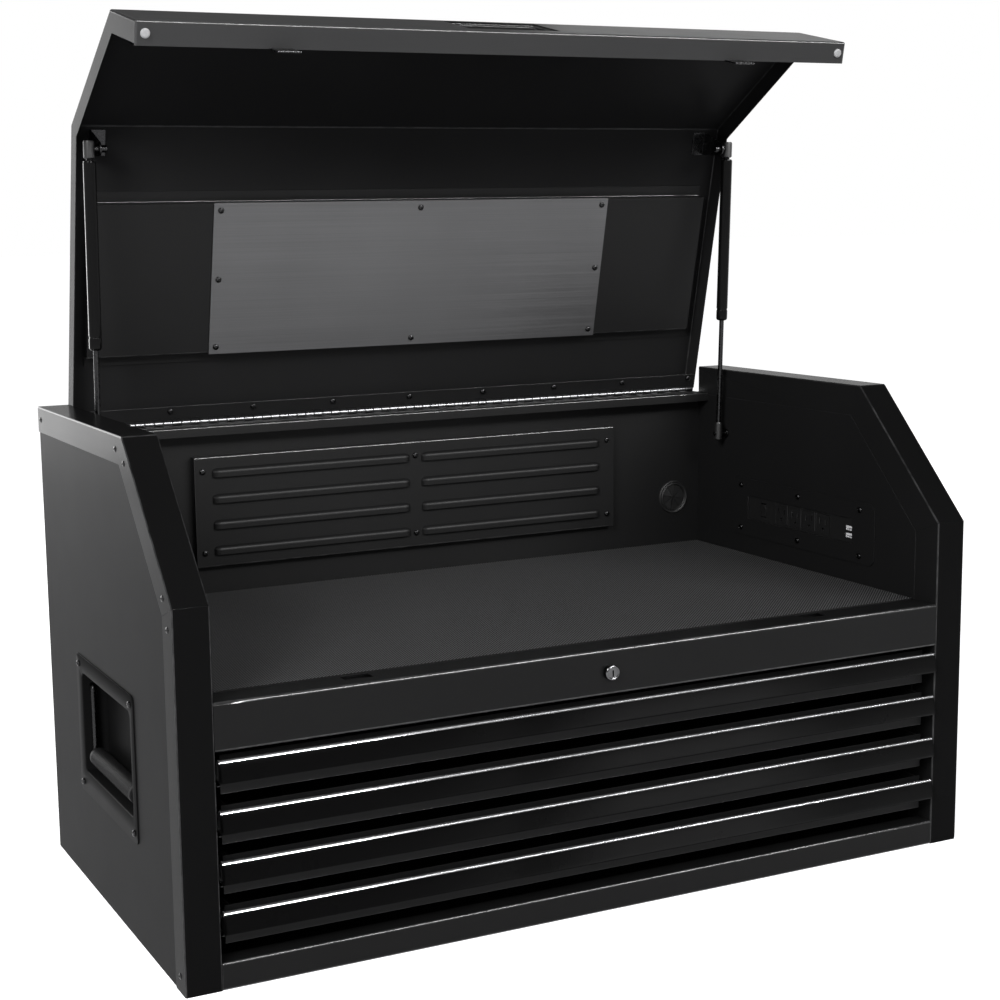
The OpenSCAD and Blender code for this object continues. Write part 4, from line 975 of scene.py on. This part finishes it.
def addLouvredPanel():
    v = louvres
    rows = sorted({z for _, z in louvreSpots()})
    inner, outer = v["bar"] + 1, v["bar"] + v["length"] - 1
    xs = [-v["half"], -outer, -inner, inner, outer, v["half"]]
    zs = [v["low"]] + [z + d for z in rows for d in (-v["slotDrop"], v["slot"] - v["slotDrop"])] + [v["high"]]
    bm = bmesh.new()
    grid = [[bm.verts.new((x, v["face"], z)) for z in zs] for x in xs]
    for i in range(len(xs) - 1):
        for j in range(len(zs) - 1):
            if i in (1, 3) and j % 2 == 1:
                continue
            bm.faces.new((grid[i][j], grid[i + 1][j], grid[i + 1][j + 1], grid[i][j + 1]))
    for j, flip in ((0, True), (len(zs) - 1, False)):
        back = [bm.verts.new((x, v["wall"], zs[j])) for x in xs]
        for i in range(len(xs) - 1):
            loop = (grid[i][j], grid[i + 1][j], back[i + 1], back[i])
            bm.faces.new(loop[::-1] if flip else loop)
    bmesh.ops.dissolve_limit(bm, angle_limit=0.01, verts=bm.verts, edges=bm.edges)
    piece = rollFolds(thicken(link("louvredPanel", meshOf(bm)), v["sheet"]), v["fold"], v["edge"])
    finish(piece, "inner_coat", "chest", "louvred_panel")


def hoodTemplate():
    # pressed hood: it leaves the sheet above, runs down level with it and ends in a lip over the slot
    v = louvres
    half = v["length"] / 2
    profile = [(p, v["rise"] - drop) for p, drop in v["brow"]] + [(1.0, 0.0), (1.0, -v["lip"])]
    stations, low = v["stations"], v["endRise"]
    xs = [-half + v["end"] * s for s in stations] + [half - v["end"] * s for s in stations[::-1]]
    bm = bmesh.new()
    columns = []
    for k, x in enumerate(xs):
        s = stations[min(k, len(xs) - 1 - k)]
        out = math.sqrt(max(0.0, 1 - (1 - s) ** 2))
        lift = low + (1 - low) * out  # the hood also gets lower towards its ends
        columns.append([bm.verts.new((x, -v["hood"] * p * out - v["proud"], z if z < 0 else z * lift))
                        for p, z in profile])
    for a, b in zip(columns, columns[1:]):
        for j in range(len(profile) - 1):
            bm.faces.new((a[j], a[j + 1], b[j + 1], b[j]))
    outward(bm)
    bm.faces.ensure_lookup_table()
    if bm.faces[len(bm.faces) // 2].normal.y > 0:
        bmesh.ops.reverse_faces(bm, faces=bm.faces)
    return thicken(link("hoodTemplate", meshOf(bm)), v["hoodSheet"])


def addLouvreHoods():
    template = hoodTemplate()
    spots = [((x, louvres["face"], z), (0, 0, 1)) for x, z in louvreSpots()]
    piece = pointsWithAxes("louvreHoods", spots)
    runTree(piece, scatterTree, {"Template": template, "Turn": 0.0, "Seed": 1, "Finish": finishes["inner_coat"]})
    smoothOff(piece, 50)
    finish(piece, "inner_coat", "chest")
    bpy.data.objects.remove(template)


addLouvredPanel()
addLouvreHoods()
print("louvres:", len(louvreSpots()))

# Ribbed mat in the well

mat = {
    "low": (-475.8, -223.0, 312.9), "high": (475.8, 261.8, 315.1), "edge": 0.6,
    "pitch": 4.3, "width": 2.1, "rise": 0.35,
}


def addMat():
    bm = bmesh.new()
    box(bm, mat["low"], mat["high"])
    piece = link("tillMat", meshOf(bm))
    rollFolds(piece, 0, mat["edge"])
    runTree(piece, ribTree, {
        "Low": Vector(mat["low"]) * mm, "High": Vector(mat["high"]) * mm, "Pitch": mat["pitch"] * mm,
        "Width": mat["width"] * mm, "Rise": mat["rise"] * mm, "Finish": finishes["mat_rubber"]})
    smoothOff(piece, 30)
    finish(piece, "mat_rubber", "chest", "till_mat")


addMat()
print("mat ready")

# Drawer pulls

pull = {
    "front": -265.0, "start": 1.5, "halfWidth": 476.0, "height": 24.0, "bulge": 5.2, "shoulder": 0.14, "lean": -4.5,
    "wall": 2.4, "back": 13.0, "backTop": -10.0, "rows": 16, "endPlate": 1.5, "edge": 0.5,
    "roll": 1.7,  # how far down the painted highlight on the rolled top edge goes
    "lips": (252.2, 197.1, 142.0, 86.9),  # heights of the four pulls
}


def pullSheet():
    piece = link("pullSheet", bpy.data.meshes.new("pullSheet"))
    foot = pull["start"] + pull["lean"]
    runTree(piece, pullTree, {
        "Half Width": pull["halfWidth"], "Height": pull["height"], "Bulge": pull["bulge"],
        "Shoulder": pull["shoulder"], "Lean": pull["lean"],
        "Depth": pull["back"] - foot, "Back": pull["height"] + pull["backTop"], "Rows": pull["rows"],
        "Finish": finishes["pull_coat"]})
    bm = bmesh.new()
    bm.from_mesh(piece.data)
    bm.faces.ensure_lookup_table()
    front = min(bm.faces, key=lambda f: f.calc_center_median().y)
    if front.normal.y > 0:
        bmesh.ops.reverse_faces(bm, faces=bm.faces)
    bmesh.ops.translate(bm, vec=(0, pull["start"], 0), verts=bm.verts)
    piece.data = meshOf(bm)
    return thicken(piece, pull["wall"], even=True)


def addPulls():
    sheet = pullSheet()
    rows = pull["rows"]
    side = []
    for k in range(rows + 1):
        t = 0.5 - 0.5 * math.cos(math.pi * k / rows)
        wave = max(0.0, math.sin(math.pi * t)) ** pull["shoulder"]
        side.append((pull["start"] + pull["lean"] * t - pull["bulge"] * wave, -pull["height"] * t))
    side += [(pull["back"], -pull["height"]), (pull["back"], pull["backTop"]), (pull["start"] + pull["wall"], 0.0)]
    bm = bmesh.new()
    for end in (-pull["halfWidth"], pull["halfWidth"] - pull["endPlate"]):
        extruded(bm, side, end, end + pull["endPlate"])
    outward(bm)
    bmesh.ops.scale(bm, vec=(mm,) * 3, verts=bm.verts)
    bm.from_mesh(sheet.data)
    ready = bpy.data.meshes.new("pullReady")
    bm.to_mesh(ready)
    bm.free()
    bpy.data.objects.remove(sheet)
    model = rollFolds(link("pullModel", ready), 0, pull["edge"])
    fold = model.data.attributes["fold"].data
    for face in model.data.polygons:
        if face.center.z > -pull["roll"] * mm and face.normal.y < 0:
            for corner in face.loop_indices:
                fold[corner].value = 1.0  # the rolled top edge is painted as bare metal: a painted highlight line
    for k, lip in enumerate(pull["lips"], 1):
        mesh = model.data.copy()
        mesh.transform(Matrix.Translation(Vector((0, pull["front"], lip)) * mm))
        finish(link(f"drawer{k}Pull", mesh), "pull_coat", f"drawer_{k}", f"drawer_{k}_pull")
    bpy.data.objects.remove(model)


addPulls()
print("pulls ready")

# Piano hinge

hinge = {
    "half": 469.0, "pairs": 37.5, "radius": 4.0, "bore": 1.6, "gap": 0.5, "round": 0.5, "steps": 20,
    "leaf": 22.0, "sheet": 1.2, "edge": 0.4, "slit": 1.6, "tab": 2.4, "chestLeaf": 541.7, "lidLeaf": 548.8,
}


def hingeRow(piece, template, count, shift, own, pose):
    pitch = hinge["half"] * 2 / hinge["pairs"]
    runTree(piece, rowTree, {
        "Template": template, "Count": count, "Start": Vector((shift - hinge["half"], 0, 0)) * mm,
        "Step": Vector((pitch, 0, 0)) * mm, "Finish": finishes[own]})
    if pose:
        piece.data.transform(Matrix.Scale(mm, 4) @ pose @ Matrix.Scale(1 / mm, 4))
    smoothOff(piece, 40)
    bpy.data.objects.remove(template)
    return piece


def addHinge():
    v = hinge
    pitch = v["half"] * 2 / v["pairs"]
    length = pitch / 2 - v["gap"]
    y, z, r = hingeLine.y, hingeLine.z, v["radius"]
    tabs = math.ceil(v["pairs"])
    leaves = (("hingeChest", "chest", "hinge_chest_leaf", v["chestLeaf"], tabs, 0.0, None),
              ("hingeLid", "lid", "hinge_lid_leaf", v["lidLeaf"], tabs - 1, pitch / 2, lidPose))
    for name, body, node, low, count, shift, pose in leaves:
        bm = bmesh.new()
        box(bm, (0, y - r - v["tab"], low), (length, y, low + v["sheet"]))
        tab = link("tab", meshOf(bm))
        bm = bmesh.new()
        box(bm, (-v["half"], y - v["leaf"], low), (v["half"], y - r - v["slit"], low + v["sheet"]))
        leaf = rollFolds(link(name + "Leaf", meshOf(bm)), 0, v["edge"])
        finish(hingeRow(leaf, tab, count, shift, "hinge_coat", pose), "hinge_coat", body, node)
        bm = bmesh.new()
        ring = [(r - v["round"], 0), (r, v["round"]), (r, length - v["round"]), (r - v["round"], length)]
        lathe(bm, [(v["bore"], 0)] + ring + [(v["bore"], length), (v["bore"], 0)], v["steps"], "X", (0, y, z))
        closeUp(bm)
        knuckle = link("knuckle", meshOf(bm))
        row = link(name + "Knuckles", bpy.data.meshes.new(name))
        finish(hingeRow(row, knuckle, count, shift, "hingeSteel", pose), "hinge_coat", body, own="hingeSteel")


addHinge()
repaint(nodes["hinge_pin"], "zinc_plate")
print("hinge ready")

# Catch hooks under the lid's front return

hook = {
    "x": 305.0, "width": 29.0, "front": -260.8, "back": -242.6, "seat": 319.1, "low": 293.9, "sheet": 2.0, "round": 0.6,
}


def addHooks():
    v = hook
    bm = bmesh.new()
    for s in (-1, 1):
        low, high = s * v["x"] - v["width"] / 2, s * v["x"] + v["width"] / 2
        front, back, seat, t = v["front"], v["back"], v["seat"], v["sheet"]
        leg = [(back - t, seat), (back - t, v["low"]), (back, v["low"]), (back, seat + t)]
        extruded(bm, [(front, seat)] + leg + [(front, seat + t)], low, high)
    outward(bm)
    bmesh.ops.transform(bm, matrix=lidPose, verts=bm.verts)
    piece = rollFolds(link("lidHooks", meshOf(bm)), v["round"] * 2, v["round"])
    finish(piece, "zinc_plate", "lid", "lid_hooks", own="blackZinc")


addHooks()

# Cable grommet: a rubber ring on both sides of the wall, closed by eight flaps

grommet = {
    "at": (433.0, 384.9), "face": 261.3, "wall": 263.8, "wallRear": 265.0, "rear": 267.5,
    "radius": 25.0, "neck": 21.5, "mouth": 19.0, "edge": 0.6, "steps": 48,
    # the moulded front: radius past the mouth, depth past the face
    "lip": ((-0.6, 1.6), (0, 0.6), (0.8, 0), (1.6, 0.5), (2.2, 1.0), (3.0, 0.6), (4.2, 0.2)),
    "rim": ((-0.8, 0.7), (-0.1, 1.5)),  # the same, but past the outer radius
    "flaps": 8, "slit": 0.45, "hole": 1.6, "root": 0.4, "sink": 2.6, "thick": 1.0, "turn": 11.0,
    "droop": 1.6, "uneven": 1.7,  # how far a flap's tip leans, and how that changes round the ring
    # the dark skin behind the flaps is painted shade: its thickness, its gap to the mouth and its steps
    "skin": 0.6, "shadeSkinGap": 0.5, "shadeSkinSteps": 32,
}


def flapLoop(middle, lean):
    # outline of one flap: five points along its root, two at its tip
    v = grommet
    x, z = v["at"]
    root, hole = v["mouth"] - v["root"], v["hole"]
    loop = []
    for d, share in [(root, k) for k in (-1, -0.5, 0, 0.5, 1)] + [(hole, 0.6), (hole, -0.6)]:
        half = math.pi / v["flaps"] - v["slit"] / (2 * d)
        a = middle + share * half
        y = v["face"] + v["sink"] + (lean if d == hole else 0.0)
        loop.append((x + d * math.cos(a), y, z + d * math.sin(a)))
    return loop


def addGrommet():
    v = grommet
    x, z = v["at"]
    r, f, w, b, m, e = v["radius"], v["face"], v["wall"], v["rear"], v["mouth"], v["edge"]
    outline = [(m, b), (m - e, b - e)] + moved(v["lip"], m, f) + moved(v["rim"], r, f)
    outline += [(r, w), (v["neck"], w), (v["neck"], v["wallRear"]), (r, v["wallRear"]), (r, b - e), (r - e, b), (m, b)]
    bm = bmesh.new()
    lathe(bm, outline, v["steps"], "Y", (x, 0, z))
    closeUp(bm)
    for k in range(v["flaps"]):
        middle = math.radians(v["turn"]) + k * (2 * math.pi / v["flaps"])
        loop = flapLoop(middle, v["droop"] * math.sin(v["uneven"] * k))
        front = [bm.verts.new(place) for place in loop]
        back = [bm.verts.new((px, py + v["thick"], pz)) for px, py, pz in loop]
        faces = [bm.faces.new(front), bm.faces.new(back[::-1])]
        faces += [bm.faces.new((front[n], front[n - 1], back[n - 1], back[n])) for n in range(len(loop))]
        bmesh.ops.recalc_face_normals(bm, faces=faces)
    # a dark rubber skin put behind the flaps as painted shade: it keeps the slits dark
    deep = f + v["sink"] + v["thick"] + v["droop"]
    skin, reach = deep + v["skin"], m - v["shadeSkinGap"]
    lathe(bm, [(0, skin), (reach, skin), (reach, deep), (0, deep)], v["shadeSkinSteps"], "Y", (x, 0, z))
    piece = link("cableGrommet", meshOf(bm))
    smoothOff(piece, 40)
    finish(piece, "soft_rubber", "chest", "cable_grommet")


addGrommet()
print("hooks and grommet ready")

# Side handles

pocket = {
    "skin": 519.3, "plate": (240, 172, 8), "plateAt": (9.5, 204), "plateSheet": 1.5,
    "plateEdge": ((0.5, 0), (0.15, 0.4), (0, 1)),  # drop below the face, and what it takes off the plate
    "mouth": (200, 122, 7), "mouthAt": (4.5, 208), "depth": 27.0, "roll": 1.6, "sheet": 1.2,
    "floorRoll": 9.0, "floorCorner": 4,  # the floor's corners are this much rounder than the mouth's
}
bail = {
    "x": 508.8, "y": 4.5, "top": 252.0, "grip": 167.0, "arm": 94.0, "rod": 3.5, "bend": 9.0, "reach": 102.7,
    "pivotBend": 4, "gripRadius": 11.2, "gripHalf": 86.0, "gripRound": 3, "gripHub": 5, "gripPlay": 0.2,
    "ringPitch": 4.0, "ringMargin": 16,
    # a ring: radius past the grip's, then height, in ring radii for all but the root
    "ringRadius": 0.55, "ringRoot": 0.3, "ringCrown": 0.6, "ringHalf": 1.6, "ringFlat": 0.7, "steps": 40,
}


def tube(bm, path, radius, steps=14):
    # a round bar along points, closed at both ends
    rings = []
    for k, p in enumerate(path):
        ahead = (path[min(k + 1, len(path) - 1)] - path[max(k - 1, 0)]).normalized()
        side = Vector((1, 0, 0)) if abs(ahead.x) < 0.9 else Vector((0, 1, 0))
        up = ahead.cross(side).normalized()
        side = up.cross(ahead)
        rings.append([bm.verts.new(p + side * radius * math.cos(a) + up * radius * math.sin(a))
                      for a in (2 * math.pi * s / steps for s in range(steps))])
    for low, high in zip(rings, rings[1:]):
        for s in range(steps):
            n = (s + 1) % steps
            bm.faces.new((low[s], low[n], high[n], high[s]))
    bm.faces.new(rings[0][::-1])
    bm.faces.new(rings[-1])


def mirrored(mesh):
    # the left hand copy of a right hand mesh
    twin = mesh.copy()
    twin.transform(Matrix.Scale(-1, 4, (1, 0, 0)))
    twin.flip_normals()
    return twin


def putOnSide(piece, s):
    if s < 0:
        piece.data = mirrored(piece.data)


def pocketMesh():
    v = pocket
    skin, face = v["skin"], v["skin"] + v["plateSheet"]
    w, h, r = v["plate"]
    rings = [(skin, (w, h, r), v["plateAt"])]
    rings += [(face - drop, (w - cut, h - cut, r - cut / 2), v["plateAt"]) for drop, cut in v["plateEdge"]]
    w, h, r = v["mouth"]
    for a in arc(30):
        grow = 2 * v["roll"] * (1 - math.sin(a))
        drop = v["roll"] * (1 - math.cos(a))
        rings.append((face - drop, (w + grow, h + grow, r + grow / 2), v["mouthAt"]))
    wall = face - v["depth"] - v["plateSheet"] + v["floorRoll"]
    for d in range(0, 91, 15):
        shrink = 2 * v["floorRoll"] * (1 - math.cos(math.radians(d)))
        x = wall - v["floorRoll"] * math.sin(math.radians(d))
        rings.append((x, (w - shrink, h - shrink, r + v["floorCorner"] * d / 90), v["mouthAt"]))
    bm = bmesh.new()
    loops = [[bm.verts.new((x, at[0] + p, at[1] + q)) for p, q in roundedLoop(*size)] for x, size, at in rings]
    count = len(loops[0])
    for low, high in zip(loops, loops[1:]):
        for k in range(count):
            n = (k + 1) % count
            bm.faces.new((low[k], low[n], high[n], high[k]))
    floor = bm.faces.new(loops[-1])
    outward(bm)
    if floor.normal.x < 0:
        bmesh.ops.reverse_faces(bm, faces=bm.faces)
    return meshOf(bm)


def bailPath():
    # from one pivot to the other, with a small bend over each arm and a wide one beside the grip
    v = bail
    small, wide, arm = v["pivotBend"], v["bend"], v["arm"]
    path = [Vector((v["x"], -v["reach"], v["top"]))]
    path += [Vector((v["x"], -arm - small + small * math.sin(a), v["top"] - small + small * math.cos(a)))
             for a in arc(30)]
    path += [Vector((v["x"], -arm + wide - wide * math.cos(a), v["grip"] + wide - wide * math.sin(a))) for a in arc(18)]
    path += [Vector((p.x, -p.y, p.z)) for p in reversed(path)]
    return [p + Vector((0, v["y"], 0)) for p in path]


def addHandle(side, s):
    piece = thicken(link(side + "HandlePocket", pocketMesh()), pocket["sheet"])
    smoothOff(piece, 50)
    putOnSide(piece, s)
    finish(piece, "trim_coat", "chest", f"{side}_handle_pocket", own="pocketCoat")
    bm = bmesh.new()
    tube(bm, bailPath(), bail["rod"])
    outward(bm)
    rod = link(side + "BailRod", meshOf(bm))
    smoothOff(rod, 60)
    putOnSide(rod, s)
    finish(rod, "zinc_plate", f"{side}_bail", f"{side}_bail", own="blackZinc")
    addGrip(side, s)


def addGrip(side, s):
    v = bail
    r, half, end = v["gripRadius"], v["gripHalf"], v["gripRound"]
    at = (v["x"], v["y"], v["grip"])
    bm = bmesh.new()
    outline = [(v["rod"] + v["gripPlay"], -half + 1), (r - v["gripHub"], -half)]
    outline += [(r - end + end * math.sin(a), -half + end - end * math.cos(a)) for a in arc(18)]
    outline += [(p, -h) for p, h in reversed(outline)]
    lathe(bm, outline, v["steps"], "Y", at)
    outward(bm)
    piece = link(side + "BailGrip", meshOf(bm))
    bm = bmesh.new()
    ring, pitch = v["ringRadius"], v["ringPitch"]
    root, crown = r - v["ringRoot"], r + ring * v["ringCrown"]
    low, flat = ring * v["ringHalf"], ring * v["ringFlat"]
    lathe(bm, [(root, -low), (crown, -flat), (crown, flat), (root, low)], v["steps"], "Y", at)
    template = link("gripRing", meshOf(bm))
    count = int((2 * half - v["ringMargin"]) / pitch)
    runTree(piece, rowTree, {
        "Template": template, "Count": count, "Start": Vector((0, -(count - 1) * pitch / 2, 0)) * mm,
        "Step": Vector((0, pitch, 0)) * mm, "Finish": finishes["bail_grip"]})
    bpy.data.objects.remove(template)
    smoothOff(piece, 50)
    putOnSide(piece, s)
    finish(piece, "bail_grip", f"{side}_bail")


for side, s in sides:
    addHandle(side, s)
print("handles ready")

# Gas struts

strut = {
    "x": 464.0, "low": (192.0, 486.0), "lean": -2.264482, "length": 410.366,
    "tube": 8.0, "foot": 166.366, "top": 396.366, "rod": 3.3, "rodStart": 10, "lap": 60.0, "steps": 32, "studSteps": 20,
    # profiles of radius and height; the tube's are past its own radius
    "tubeFoot": ((-2.2, 0), (-0.6, 1.2), (0, 3), (0, 14), (-0.7, 15.2), (-0.7, 16.4), (0, 17.6)),
    "tubeTop": ((0, -3), (-0.8, -0.8), (-3, 0)),
    "neck": ((0, -1), (4, -1), (4, 3), (0, 3)),
    "cap": ((0, -12), (5.6, -12), (7, -10.5), (7, 8), (5.8, 10), (0, 10)),
    "stud": ((0, -3.2), (3, -3.2), (3, -11.2), (0, -11.2)),
    "rodFoot": ((0, -9), (4.8, -9), (6, -7.6), (6, 14), (4.6, 17), (0, 17)),
}


def strutMesh(outlines, stud):
    bm = bmesh.new()
    for outline in outlines:
        lathe(bm, outline, strut["steps"])
    if stud:
        lathe(bm, strut["stud"], strut["studSteps"], "X", (0, 0, strut["length"]))
    outward(bm)
    y, z = strut["low"]
    pose = Matrix.Translation((strut["x"], y, z)) @ Matrix.Rotation(math.radians(-strut["lean"]), 4, "X")
    bmesh.ops.transform(bm, matrix=pose, verts=bm.verts)
    return meshOf(bm)


def addStrut(side, s):
    v = strut
    r, foot, top, rod = v["tube"], v["foot"], v["top"], v["rod"]
    body = [(rod + 0.3, foot + 0.6)] + moved(v["tubeFoot"], r, foot) + moved(v["tubeTop"], r, top) + [(0, top)]
    start, end = v["rodStart"], foot + v["lap"]
    bar = [(0, start), (rod, start), (rod, end), (0, end)]
    parts = (("StrutTube", "tube", "strut_coat", [f"{side}_strut_tube"], [body, moved(v["neck"], 0, top)]),
             ("StrutTop", "tube", "strip_plastic", [], [moved(v["cap"], 0, v["length"])]),
             ("StrutRod", "rod", "bright_steel", [f"{side}_strut_rod"], [bar]),
             ("StrutFoot", "rod", "strip_plastic", [], [v["rodFoot"]]))
    for name, carrier, slot, replaced, outlines in parts:
        piece = link(side + name, strutMesh(outlines, name == "StrutTop"))
        putOnSide(piece, s)
        smoothOff(piece, 40)
        finish(piece, slot, f"{side}_strut_{carrier}", *replaced, own="blackZinc" if name == "StrutRod" else None)


for side, s in sides:
    addStrut(side, s)
print("struts ready")

# Lock

lock = {
    "front": -265.0, "z": 287.9, "head": 7.0, "radius": 9.5, "seat": -0.2, "barrel": 8.6, "bore": 6.55, "deep": 20.0,
    "crown": ((0, 2.2), (-0.4, 1.2), (-1.3, 0.3), (-2.0, 0)),  # radius past the head's, depth behind its face
    "mouth": ((0.5, 0), (0, 0.4)), "steps": 48,  # the same at the bore
}


def addLock():
    v = lock
    y, r, bore = v["front"], v["radius"], v["bore"]
    outline = [(bore, v["deep"]), (v["barrel"], v["deep"]), (v["barrel"], v["seat"]), (r, v["seat"])]
    outline += moved(v["crown"], r, -v["head"]) + moved(v["mouth"], bore, -v["head"]) + [(bore, v["deep"])]
    bm = bmesh.new()
    lathe(bm, outline, v["steps"], "Y", (0, y, v["z"]))
    closeUp(bm)
    piece = link("lockHousing", meshOf(bm))
    smoothOff(piece, 40)
    finish(piece, "bright_steel", "chest", "lock_housing", own="darkChrome")


addLock()
print("pieces:", len(pieces))
